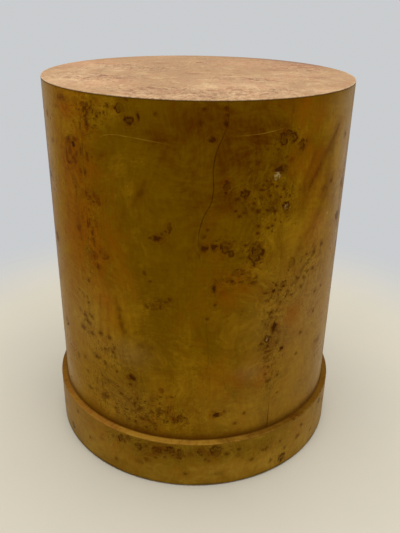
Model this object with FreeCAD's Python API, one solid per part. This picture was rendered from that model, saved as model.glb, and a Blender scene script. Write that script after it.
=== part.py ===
import FreeCAD, Part
import math
import os

# Drum table on a low plinth: a hollow, skinned drum under burl veneer, with a wider band at its foot.
# Millimetres. Z is up, and the origin is on the floor under the middle of the drum.
# The front faces -Y. Angles are in degrees round Z from the front, growing towards +X.

# Outside sizes
HEIGHT = 508.0
DRUM_DIAMETER = 400.0
PLINTH_HEIGHT = 72.0

# Thickness of each sheet and board
VENEER_THICKNESS = 0.9
SKIN_THICKNESS = 4.0
PANEL_THICKNESS = 18.0
BAND_THICKNESS = 8.0
LIPPING_THICKNESS = 1.5

# Frame inside the drum
STILE_WIDTH = 45.0
STILE_DEPTH = 28.0
FORMER_THICKNESS = 18.0
FORMER_WIDTH = 55.0
NOTCH_CLEARANCE = 0.1
STILE_PLACES = ("front", "front_right", "rear_right", "rear", "rear_left", "front_left")

# Glue between curved layers, joints between sheets, and the front veneer joint, which has opened
GLUE_THICKNESS = 0.05
JOINT_GAP = 0.1
FRONT_JOINT_GAP = 0.5
INNER_SKIN_JOINT_ANGLE = 180
OUTER_SKIN_JOINT_ANGLE = 120
RIGHT_JOINT_ANGLE = 90
LEFT_JOINT_ANGLE = 270
REAR_JOINT_ANGLE = 180

# The front joint wanders to the right of the middle, following the figure
# Each pair is a share of the leaf's height and a share of the joint's reach
FRONT_JOINT_REACH = 32.0
FRONT_JOINT_LINE = (
    (0.00, 0.70),
    (0.15, 0.69),
    (0.29, 0.64),
    (0.43, 0.52),
    (0.50, 0.44),
    (0.59, 0.33),
    (0.66, 0.16),
    (0.70, 0.10),
    (0.73, 0.16),
    (0.76, 0.31),
    (0.78, 0.48),
    (0.81, 0.58),
    (0.86, 0.56),
    (0.90, 0.67),
    (0.93, 0.86),
    (0.96, 1.00),
    (1.00, 0.97),
)

# Softened edges that show
TOP_EDGE_RADIUS = 0.4
LEDGE_EDGE_RADIUS = 0.8

# Countersunk wood screws
SCREW_DIAMETER = 4.0
SCREW_HEAD_DIAMETER = 8.0
SCREW_LENGTH = 45.0
SCREW_POINT_LENGTH = 6.0
SCREW_SINK_DEPTH = 0.3
DRIVE_WIDTH = 1.2
DRIVE_LENGTH = 4.4
DRIVE_DEPTH = 1.6

# Brads that hold the bent sheets until the glue sets
BRAD_DIAMETER = 1.2
BRAD_HEAD_DIAMETER = 2.0
BRAD_HEAD_THICKNESS = 0.8
BRAD_POINT_LENGTH = 2.0
BRAD_SINK_DEPTH = 0.2
SKIN_BRAD_LENGTH = 22.0
SKIN_BRAD_SPACING = 24.0
SKIN_BRAD_END_DISTANCE = 60.0
SKIN_BRAD_ROWS = 4
PLINTH_BRAD_LENGTH = 25.0
PLINTH_BRADS = 12

# Nailed glides under the base
GLIDE_DIAMETER = 20.0
GLIDE_THICKNESS = 5.0
GLIDE_PROUD_HEIGHT = 2.0
GLIDE_INSET = 35.0
GLIDE_CLEARANCE = 0.1
GLIDE_EDGE_RADIUS = 0.8
GLIDE_COUNT = 4
NAIL_DIAMETER = 2.2
NAIL_HEAD_DIAMETER = 6.0
NAIL_HEAD_THICKNESS = 1.0
NAIL_SINK_DEPTH = 1.0
NAIL_LENGTH = 14.0
NAIL_POINT_LENGTH = 3.0

# Radii from the drum's face inwards, then outwards, and heights, worked out from the sizes above
drum_radius = DRUM_DIAMETER / 2
leaf_inside = drum_radius - VENEER_THICKNESS
outer_skin_radius = leaf_inside - GLUE_THICKNESS
outer_skin_inside = outer_skin_radius - SKIN_THICKNESS
inner_skin_radius = outer_skin_inside - GLUE_THICKNESS
inner_skin_inside = inner_skin_radius - SKIN_THICKNESS
core_radius = inner_skin_inside - GLUE_THICKNESS
band_inside = drum_radius + GLUE_THICKNESS
band_radius = band_inside + BAND_THICKNESS
band_veneer_inside = band_radius + GLUE_THICKNESS
plinth_radius = band_veneer_inside + VENEER_THICKNESS
base_bottom = GLIDE_PROUD_HEIGHT
base_top = base_bottom + PANEL_THICKNESS
panel_top = HEIGHT - VENEER_THICKNESS
panel_bottom = panel_top - PANEL_THICKNESS
ledge_bottom = PLINTH_HEIGHT - LIPPING_THICKNESS
former_middle = (base_top + panel_bottom) / 2
stile_inside = core_radius - STILE_DEPTH
stile_middle = core_radius - STILE_DEPTH / 2
glide_radius = drum_radius - GLIDE_INSET

# The stiles start at the front, and the glides half a step from it
stile_step = 360 / len(STILE_PLACES)
stile_angles = [stile_step * index for index in range(len(STILE_PLACES))]
glide_step = 360 / GLIDE_COUNT
glide_angles = [glide_step * (index + 0.5) for index in range(GLIDE_COUNT)]
side_joint_angles = [RIGHT_JOINT_ANGLE, LEFT_JOINT_ANGLE]

# How far a cutting shape runs past the piece that it cuts
OVERCUT = 1.0

# Tilts of a fastener about X, from one that points down
POINTS_DOWN = 0
POINTS_IN = 90
POINTS_UP = 180


def vec(x, y, z):
    return FreeCAD.Vector(x, y, z)


def disc(radius, low, high):
    return Part.makeCylinder(radius, high - low, vec(0, 0, low))


def tube(outside, inside, low, high):
    return disc(outside, low, high).cut(disc(inside, low - OVERCUT, high + OVERCUT))


def block(width, near, far, low, high):
    """Block at the front, between two distances from the axis."""
    return Part.makeBox(width, far - near, high - low, vec(-width / 2, -far, low))


def turned(shape, angle):
    """Copy of a shape made at the front, carried round the axis."""
    copy = shape.copy()
    copy.rotate(vec(0, 0, 0), vec(0, 0, 1), angle)
    return copy


def fixed_at(fastener, tilt, radius, height, angle):
    """Copy of a fastener with its head at one place, tilted to its working direction."""
    copy = fastener.copy()
    copy.rotate(vec(0, 0, 0), vec(1, 0, 0), tilt)
    copy.translate(vec(0, -radius, height))
    return turned(copy, angle)


def revolved(profile):
    """Solid of revolution about Z from (radius, height) corners."""
    corners = [vec(radius, 0, height) for radius, height in profile]
    face = Part.Face(Part.makePolygon(corners + corners[:1]))
    return face.revolve(vec(0, 0, 0), vec(0, 0, 1), 360)


def round_top_edge(shape, radius, top, size):
    """Rounds the outer top edge of a disc or ring."""
    edges = []
    for edge in shape.Edges:
        is_circle = isinstance(edge.Curve, Part.Circle)
        if is_circle and abs(edge.Curve.Radius - radius) < size and edge.CenterOfMass.z > top - size:
            edges.append(edge)
    return shape.makeFillet(size, edges)


def butt_joint(angle):
    """Thin upright slot from the axis outwards, where two edges of a bent sheet meet."""
    slot = block(JOINT_GAP, 0, plinth_radius + OVERCUT, -OVERCUT, HEIGHT + OVERCUT)
    return turned(slot, angle)


def wavy_joint():
    """Slot between the two front leaves, cut along the figure."""
    span = panel_top - base_bottom
    line = []
    for rise, sway in FRONT_JOINT_LINE:
        line.append(vec(sway * FRONT_JOINT_REACH, 0, base_bottom + rise * span))
    below = line[0] - vec(0, 0, OVERCUT)
    above = line[-1] + vec(0, 0, OVERCUT)
    curve = Part.BSplineCurve()
    curve.interpolate([below] + line + [above])
    left_edge = curve.toShape()
    right_edge = left_edge.translated(vec(FRONT_JOINT_GAP, 0, 0))
    ribbon = Part.makeRuledSurface(left_edge, right_edge)
    return ribbon.extrude(vec(0, -drum_radius - OVERCUT, 0))


def screw_shank():
    """Countersunk screw without its drive, head up at the origin and point down."""
    head = SCREW_HEAD_DIAMETER / 2
    shank = SCREW_DIAMETER / 2
    return revolved((
        (0, 0),
        (head, 0),
        (shank, shank - head),
        (shank, SCREW_POINT_LENGTH - SCREW_LENGTH),
        (0, -SCREW_LENGTH),
    ))


def screw():
    """Countersunk screw with a cross drive."""
    corner = vec(-DRIVE_LENGTH / 2, -DRIVE_WIDTH / 2, -DRIVE_DEPTH)
    arm = Part.makeBox(DRIVE_LENGTH, DRIVE_WIDTH, DRIVE_DEPTH, corner)
    return screw_shank().cut([arm, turned(arm, 90)])


def screw_hole():
    """Hole of a screw, open above its sunk head."""
    mouth = disc(SCREW_HEAD_DIAMETER / 2, 0, SCREW_SINK_DEPTH + OVERCUT)
    return screw_shank().fuse(mouth)


def brad(length):
    """Headed wire brad, head up at the origin and point down."""
    shank = BRAD_DIAMETER / 2
    return revolved((
        (0, 0),
        (BRAD_HEAD_DIAMETER / 2, 0),
        (BRAD_HEAD_DIAMETER / 2, -BRAD_HEAD_THICKNESS),
        (shank, -BRAD_HEAD_THICKNESS),
        (shank, BRAD_POINT_LENGTH - length),
        (0, -length),
    ))


def brad_hole(length):
    """Hole of a brad, open above its sunk head."""
    return brad(length).fuse(disc(BRAD_HEAD_DIAMETER / 2, 0, BRAD_SINK_DEPTH + OVERCUT))


def glide_nail():
    """Flat-headed nail, head up at the origin and point down."""
    shank = NAIL_DIAMETER / 2
    return revolved((
        (0, 0),
        (NAIL_HEAD_DIAMETER / 2, 0),
        (NAIL_HEAD_DIAMETER / 2, -NAIL_HEAD_THICKNESS),
        (shank, -NAIL_HEAD_THICKNESS),
        (shank, NAIL_POINT_LENGTH - NAIL_LENGTH),
        (0, -NAIL_LENGTH),
    ))


def glide_pad():
    """Round glide standing on the floor at the axis, bored for its nail."""
    pad = disc(GLIDE_DIAMETER / 2, 0, GLIDE_THICKNESS)
    rim = [edge for edge in pad.Edges if edge.BoundBox.ZMax < GLIDE_PROUD_HEIGHT]
    pad = pad.makeFillet(min(GLIDE_EDGE_RADIUS, GLIDE_PROUD_HEIGHT / 2), rim)
    bore = disc(NAIL_DIAMETER / 2, -OVERCUT, GLIDE_THICKNESS + OVERCUT)
    seat = disc(NAIL_HEAD_DIAMETER / 2, -OVERCUT, NAIL_SINK_DEPTH + NAIL_HEAD_THICKNESS)
    return pad.cut([bore, seat])


def stile():
    """Upright at the front, its outer face rounded to the inside of the skin."""
    blank = block(STILE_WIDTH, stile_inside, core_radius, base_top, panel_bottom)
    return blank.common(disc(core_radius, base_top, panel_bottom))


def stile_notch():
    """Notch in the former's rim for one stile."""
    half = FORMER_THICKNESS / 2 + OVERCUT
    width = STILE_WIDTH + 2 * NOTCH_CLEARANCE
    return block(width, stile_inside, core_radius + OVERCUT, former_middle - half, former_middle + half)


def frame_screws(fastener):
    """Top, base and former screws, or their holes: one of each to a stile."""
    top_head = panel_top - SCREW_SINK_DEPTH
    base_head = base_bottom + SCREW_SINK_DEPTH
    former_head = core_radius - SCREW_SINK_DEPTH
    top = []
    base = []
    former = []
    for angle in stile_angles:
        top.append(fixed_at(fastener, POINTS_DOWN, stile_middle, top_head, angle))
        base.append(fixed_at(fastener, POINTS_UP, stile_middle, base_head, angle))
        former.append(fixed_at(fastener, POINTS_IN, former_head, former_middle, angle))
    return top, base, former


def skin_brads(fastener):
    """Two columns of brads through both skins into each stile, or their holes."""
    lowest = base_top + SKIN_BRAD_END_DISTANCE
    pitch = (panel_bottom - SKIN_BRAD_END_DISTANCE - lowest) / (SKIN_BRAD_ROWS - 1)
    aside = math.degrees(math.asin(SKIN_BRAD_SPACING / 2 / core_radius))
    head_radius = outer_skin_radius - BRAD_SINK_DEPTH
    brads = []
    for angle in stile_angles:
        for row in range(SKIN_BRAD_ROWS):
            height = lowest + row * pitch
            for side in (-aside, aside):
                brads.append(fixed_at(fastener, POINTS_IN, head_radius, height, angle + side))
    return brads


def plinth_brads(fastener):
    """Brads through the band into the edge of the base panel, or their holes."""
    step = 360 / PLINTH_BRADS
    height = (base_bottom + base_top) / 2
    head_radius = band_radius - BRAD_SINK_DEPTH
    brads = []
    for index in range(PLINTH_BRADS):
        brads.append(fixed_at(fastener, POINTS_IN, head_radius, height, step * (index + 0.5)))
    return brads


def glides(fastener, height, tilt):
    """One copy of a glide's piece at each of its places."""
    return [fixed_at(fastener, tilt, glide_radius, height, angle) for angle in glide_angles]


def front_and_rear(ring):
    """Cuts a ring at both sides into its front and rear halves."""
    halves = ring.cut([butt_joint(angle) for angle in side_joint_angles]).Solids
    return sorted(halves, key=lambda half: half.CenterOfMass.y)


def drum_leaves(holes):
    """Four veneer leaves round the drum, front pair first, each pair from left to right."""
    tall = tube(drum_radius, leaf_inside, base_bottom, panel_top)
    joints = [butt_joint(angle) for angle in side_joint_angles + [REAR_JOINT_ANGLE]]
    leaves = tall.cut(joints + [wavy_joint()] + holes).Solids
    return sorted(leaves, key=lambda leaf: (leaf.CenterOfMass.y > 0, leaf.CenterOfMass.x))


def save(name, solids):
    """Writes one node, which holds one solid or a group of like ones."""
    shape = solids[0] if len(solids) == 1 else Part.makeCompound(solids)
    shape.exportStep("parts/" + name + ".step")


os.makedirs("parts", exist_ok=True)

top_holes, base_holes, former_holes = frame_screws(screw_hole())
skin_holes = skin_brads(brad_hole(SKIN_BRAD_LENGTH))
plinth_holes = plinth_brads(brad_hole(PLINTH_BRAD_LENGTH))
nail_holes = glides(glide_nail(), NAIL_SINK_DEPTH, POINTS_UP)
glide_seats = glides(
    disc(GLIDE_DIAMETER / 2 + GLIDE_CLEARANCE, 0, GLIDE_THICKNESS),
    0,
    POINTS_DOWN,
)

# Top and base panels
top_panel = disc(core_radius, panel_bottom, panel_top).cut(top_holes)
save("top_panel", top_panel.Solids)
base_panel = disc(core_radius, base_bottom, base_top)
base_panel = base_panel.cut(base_holes + plinth_holes + nail_holes + glide_seats)
save("base_panel", base_panel.Solids)

# Stiles and the ring that ties them at mid height
for place, angle in zip(STILE_PLACES, stile_angles):
    upright = turned(stile(), angle).cut(top_holes + base_holes + former_holes + skin_holes)
    save("stile_" + place, upright.Solids)
former = tube(
    core_radius,
    core_radius - FORMER_WIDTH,
    former_middle - FORMER_THICKNESS / 2,
    former_middle + FORMER_THICKNESS / 2,
)
notches = [turned(stile_notch(), angle) for angle in stile_angles]
save("middle_former", former.cut(notches + former_holes).Solids)

# Two bent skins with their butt joints on different stiles
inner_skin = tube(inner_skin_radius, inner_skin_inside, base_bottom, panel_top)
inner_skin = inner_skin.cut([butt_joint(INNER_SKIN_JOINT_ANGLE)] + skin_holes + plinth_holes)
save("inner_skin", inner_skin.Solids)
outer_skin = tube(outer_skin_radius, outer_skin_inside, base_bottom, panel_top)
outer_skin = outer_skin.cut([butt_joint(OUTER_SKIN_JOINT_ANGLE)] + skin_holes + plinth_holes)
save("outer_skin", outer_skin.Solids)

# Veneer on the drum and on the top
leaf_names = ("front_left", "front_right", "rear_left", "rear_right")
for place, leaf in zip(leaf_names, drum_leaves(plinth_holes)):
    save("drum_veneer_" + place, [leaf])
top_round = min(TOP_EDGE_RADIUS, VENEER_THICKNESS / 2)
top_leaf = disc(drum_radius, panel_top, HEIGHT)
save("top_veneer", [round_top_edge(top_leaf, drum_radius, HEIGHT, top_round)])

# Plinth band, its veneer, and the lipping that makes the ledge
band = tube(band_radius, band_inside, base_bottom, ledge_bottom).cut(plinth_holes)
band_veneer = tube(plinth_radius, band_veneer_inside, base_bottom, ledge_bottom)
ledge_round = min(LEDGE_EDGE_RADIUS, LIPPING_THICKNESS / 2)
lipping = tube(plinth_radius, band_inside, ledge_bottom, PLINTH_HEIGHT)
lipping = round_top_edge(lipping, plinth_radius, PLINTH_HEIGHT, ledge_round)
for name, ring in (("band", band), ("veneer", band_veneer), ("lipping", lipping)):
    for place, half in zip(("front", "rear"), front_and_rear(ring)):
        save("plinth_" + name + "_" + place, [half])

# Fasteners
top_screws, base_screws, former_screws = frame_screws(screw())
save("top_screws", top_screws)
save("base_screws", base_screws)
save("former_screws", former_screws)
save("skin_brads", skin_brads(brad(SKIN_BRAD_LENGTH)))
save("plinth_brads", plinth_brads(brad(PLINTH_BRAD_LENGTH)))

# Glides, each a pad and its nail
for number, pad in enumerate(glides(glide_pad(), 0, POINTS_DOWN), start=1):
    save("glide_pad_" + str(number), [pad])
for number, nail in enumerate(glides(glide_nail(), NAIL_SINK_DEPTH, POINTS_UP), start=1):
    save("glide_nail_" + str(number), [nail])
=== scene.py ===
import math
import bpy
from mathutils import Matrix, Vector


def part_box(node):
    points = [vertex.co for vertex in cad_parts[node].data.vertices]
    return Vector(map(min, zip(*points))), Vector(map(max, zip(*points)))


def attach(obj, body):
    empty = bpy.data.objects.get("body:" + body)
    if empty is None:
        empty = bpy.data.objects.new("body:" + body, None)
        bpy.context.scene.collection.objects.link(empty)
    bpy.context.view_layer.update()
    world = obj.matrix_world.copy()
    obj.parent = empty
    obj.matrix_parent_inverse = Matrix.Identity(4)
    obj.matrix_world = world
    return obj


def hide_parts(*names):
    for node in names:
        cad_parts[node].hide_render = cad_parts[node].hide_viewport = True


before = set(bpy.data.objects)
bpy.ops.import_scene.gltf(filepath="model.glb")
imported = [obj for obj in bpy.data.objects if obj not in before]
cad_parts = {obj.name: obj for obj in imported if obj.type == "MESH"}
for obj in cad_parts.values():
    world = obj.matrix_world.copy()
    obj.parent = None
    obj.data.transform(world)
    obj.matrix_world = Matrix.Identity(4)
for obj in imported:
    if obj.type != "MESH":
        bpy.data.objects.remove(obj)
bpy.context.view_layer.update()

from types import SimpleNamespace

import bpy
import numpy as np
from mathutils import Matrix

# Boards of the frame: the round top and base panels and the ring halfway up.
# They are raw particle board, routed round and screwed to the stiles.
# Only the underside of the base panel can be seen, from below.
board_pale = (0.53, 0.39, 0.22, 1.0)
board_brown = (0.27, 0.17, 0.08, 1.0)
board_dust_grey = (0.30, 0.24, 0.17, 1.0)
board_chip_scale = 420.0
board_flake_scales = (260.0, 610.0, 380.0)
board_dust_scale = 14.0
board_relief = 0.0004
board_nodes = ["top_panel", "base_panel", "middle_former"]


def new_finish(name):
    """A surface finish that is still empty: the material and its shader."""
    finish = bpy.data.materials.new(name)
    finish.use_nodes = True
    return finish, finish.node_tree.nodes["Principled BSDF"]


def layer(finish, kind, feeds=None, **settings):
    """One node of a finish. Its feeds are numbers, colours or outputs of other nodes."""
    made = finish.node_tree.nodes.new("ShaderNode" + kind)
    for setting, value in settings.items():
        setattr(made, setting, value)
    for socket, value in (feeds or {}).items():
        if isinstance(value, bpy.types.NodeSocket):
            finish.node_tree.links.new(value, made.inputs[socket])
        else:
            made.inputs[socket].default_value = value
    return made


def calc(finish, operation, *values):
    """The result of one sum on numbers or outputs."""
    return layer(finish, "Math", dict(enumerate(values)), operation=operation).outputs[0]


def times(finish, value, *others):
    """The values multiplied together."""
    for other in others:
        value = calc(finish, "MULTIPLY", value, other)
    return value


def ease(finish, value, start, end, first=0.0, last=1.0):
    """A soft step: first where value is at start, last where it is at end."""
    feeds = {"Value": value, "From Min": start, "From Max": end, "To Min": first, "To Max": last}
    return layer(finish, "MapRange", feeds, interpolation_type="SMOOTHSTEP").outputs["Result"]


def tint(finish, share, under, over, way="MIX"):
    """Colour under with colour over laid on it by share."""
    return layer(finish, "Mix", {0: share, 6: under, 7: over}, data_type="RGBA", blend_type=way).outputs[2]


def cloud(finish, place, scale, detail=2.0, roughness=0.5, dimensions="3D"):
    """A cloudy pattern from 0 to 1 with scale patches to the metre."""
    feeds = {"Vector": place, "Scale": scale, "Detail": detail, "Roughness": roughness}
    return layer(finish, "TexNoise", feeds, noise_dimensions=dimensions).outputs[0]


def stretched(finish, place, scales):
    """A place with its three directions scaled, for grain and brush lines."""
    return layer(finish, "Mapping", {"Vector": place, "Scale": scales}).outputs[0]


def own_place(finish):
    """Where a point is on the piece, in metres."""
    return layer(finish, "TexCoord").outputs["Object"]


def lay_surface(finish, shader, colour, roughness, height, depth):
    """Leads the colour, the roughness and a relief of that depth in metres into the shader."""
    relief = layer(finish, "Bump", {"Strength": 1.0, "Distance": depth, "Height": height}).outputs[0]
    for output, socket in ((colour, "Base Color"), (roughness, "Roughness"), (relief, "Normal")):
        finish.node_tree.links.new(output, shader.inputs[socket])


def dress_nodes(names, finish):
    """Puts a finish on solids that stay as they are."""
    for name in names:
        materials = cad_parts[name].data.materials
        materials.clear()
        materials.append(finish)


board, board_shader = new_finish("particle_board")
board_place = own_place(board)
board_chip = layer(board, "TexVoronoi", {"Vector": board_place, "Scale": board_chip_scale})
board_chip_tone = layer(board, "SeparateColor", {0: board_chip.outputs["Color"]}).outputs[0]
board_flake = cloud(board, stretched(board, board_place, board_flake_scales), 1.0, 3.0, 0.6)
board_share = times(board, board_chip_tone, board_flake)
board_dust = ease(board, cloud(board, board_place, board_dust_scale, 4.0), 0.45, 0.75, 0.0, 0.4)
board_colour = tint(board, board_share, board_pale, board_brown)
board_colour = tint(board, board_dust, board_colour, board_dust_grey)
board_rough = ease(board, board_flake, 0.3, 0.7, 0.68, 0.86)
lay_surface(board, board_shader, board_colour, board_rough, board_share, board_relief)
dress_nodes(board_nodes, board)

# Stiles: six planed softwood uprights between the panels, glued and screwed at both ends.
# The skins are pinned to their outer faces. Nothing of them shows on the finished table.
stile_pale = (0.60, 0.42, 0.22, 1.0)
stile_line = (0.38, 0.21, 0.08, 1.0)
stile_bend_scales = (14.0, 14.0, 2.0)
stile_years = 90.0
stile_hair_scales = (900.0, 900.0, 22.0)
stile_relief = 0.0002
stile_places = ["front", "front_right", "rear_right", "rear", "rear_left", "front_left"]

softwood, softwood_shader = new_finish("planed_softwood")
softwood_place = own_place(softwood)
softwood_bend = cloud(softwood, stretched(softwood, softwood_place, stile_bend_scales), 1.0)
softwood_year = calc(softwood, "SINE", times(softwood, softwood_bend, stile_years))
softwood_year_share = ease(softwood, softwood_year, 0.1, 1.0, 0.0, 0.7)
softwood_hair = cloud(softwood, stretched(softwood, softwood_place, stile_hair_scales), 1.0)
softwood_hair_share = ease(softwood, softwood_hair, 0.4, 0.8, 0.0, 0.35)
softwood_colour = tint(softwood, softwood_year_share, stile_pale, stile_line)
softwood_colour = tint(softwood, softwood_hair_share, softwood_colour, stile_line)
softwood_rough = ease(softwood, softwood_hair, 0.3, 0.7, 0.55, 0.72)
lay_surface(softwood, softwood_shader, softwood_colour, softwood_rough, softwood_hair, stile_relief)
dress_nodes(["stile_" + place for place in stile_places], softwood)

# Skins and plinth band: bending plywood rolled round the frame in two layers, glued and pinned.
# The band at the foot is thicker. Their lower edges show from below, with the plies as stripes.
ply_pale = (0.58, 0.42, 0.25, 1.0)
ply_red = (0.44, 0.26, 0.13, 1.0)
ply_pore_brown = (0.22, 0.12, 0.06, 1.0)
ply_dust_grey = (0.33, 0.25, 0.17, 1.0)
ply_glue_brown = (0.020, 0.008, 0.001, 1.0)
ply_thickness = 0.0013
ply_pore_scales = (1300.0, 1300.0, 60.0)
ply_dust_scale = 18.0
ply_relief = 0.0002
ply_nodes = ["inner_skin", "outer_skin", "plinth_band_front", "plinth_band_rear"]

# The glue that was squeezed out between skin and veneer, as a ring by its distances from the axis.
glue_starts = 0.1980
glue_thick_from = 0.1988
glue_thick_to = 0.1994
glue_ends = 0.1998


def from_axis(finish):
    """How far a point is from the drum's axis, in metres."""
    axes = layer(finish, "SeparateXYZ", {0: own_place(finish)}).outputs
    square = calc(finish, "MULTIPLY_ADD", axes[0], axes[0], calc(finish, "POWER", axes[1], 2.0))
    return calc(finish, "SQRT", square)


ply, ply_shader = new_finish("bending_plywood")
ply_place = own_place(ply)
ply_out = from_axis(ply)
ply_stripe = calc(ply, "SINE", times(ply, ply_out, math.pi / ply_thickness))
ply_pores = cloud(ply, stretched(ply, ply_place, ply_pore_scales), 1.0)
ply_dust = ease(ply, cloud(ply, ply_place, ply_dust_scale, 3.0), 0.4, 0.75, 0.0, 0.4)
ply_glue = ease(ply, ply_out, glue_starts, glue_thick_from)
ply_glue = times(ply, ply_glue, ease(ply, ply_out, glue_ends, glue_thick_to))
ply_colour = tint(ply, ease(ply, ply_stripe, -0.2, 0.2), ply_pale, ply_red)
ply_colour = tint(ply, ease(ply, ply_pores, 0.55, 0.75, 0.0, 0.6), ply_colour, ply_pore_brown)
ply_colour = tint(ply, ply_dust, ply_colour, ply_dust_grey)
ply_colour = tint(ply, ply_glue, ply_colour, ply_glue_brown)
ply_rough = ease(ply, ply_pores, 0.3, 0.7, 0.60, 0.78)
lay_surface(ply, ply_shader, ply_colour, ply_rough, ply_pores, ply_relief)
dress_nodes(ply_nodes, ply)

# Drum veneer: leaves of burl cut flat from one flitch, butted together and bent round the drum.
# The front leaf has split along a wavy line that runs down from the top and closes towards the foot.
# Those at the back are the next ones off the flitch, laid upside down, so the two sides differ.
leaf_low, leaf_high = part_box("drum_veneer_front_left")
leaf_shows_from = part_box("plinth_lipping_front")[1][2]
drum_radius = 0.2
drum_degree = 1000 * drum_radius * math.pi / 180
veneer_thickness = 0.0009
leaf_cell = 0.003
smooth_angle = math.radians(40)
off_edge = 50.0

# Butt joints by angle to the right. The left one has opened at two heights, each with a half height, and
# the right one near the foot. A closed joint counts as seam_hidden millimetres further off than it is,
# so that it hardly shows dark, and seam_opening is taken off that where it has opened.
butt_gap = 0.0001
left_seam = -39.5
left_seam_gaps = [(0.447, 0.011), (0.361, 0.012)]
right_seam = 30.0
right_seam_top = 0.13
right_seam_fade = 0.04
right_seam_open = 1.3
seam_hidden = 0.70
seam_opening = 0.55

# The split: its width where it is open and where it has closed, the heights where it closes, narrows and
# shows again as a trace, and how its dark stain thins out beside it and where it has closed.
split_gap = 0.0003
split_closed = 0.0001
split_shut_below = 0.372
split_shut_over = 0.04
split_narrow_above = 0.466
split_narrow_over = 0.03
split_narrow_share = 0.55
split_trace_height = 0.236
split_trace_half = 0.016
split_trace_share = 0.45
split_stain_start = 0.45
split_stain_beside = 0.35
split_stain_closed = 0.8

# The run of the split: shares of the leaf's height, and of the reach to the right of the middle.
split_reach = 0.032
split_run = [
    (0.0, 0.70), (0.15, 0.69), (0.29, 0.64), (0.43, 0.52), (0.50, 0.44), (0.59, 0.33), (0.66, 0.16),
    (0.70, 0.10), (0.73, 0.16), (0.76, 0.31), (0.78, 0.48), (0.81, 0.58), (0.86, 0.56), (0.90, 0.67),
    (0.93, 0.86), (0.96, 1.00), (1.00, 0.97),
]

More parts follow.
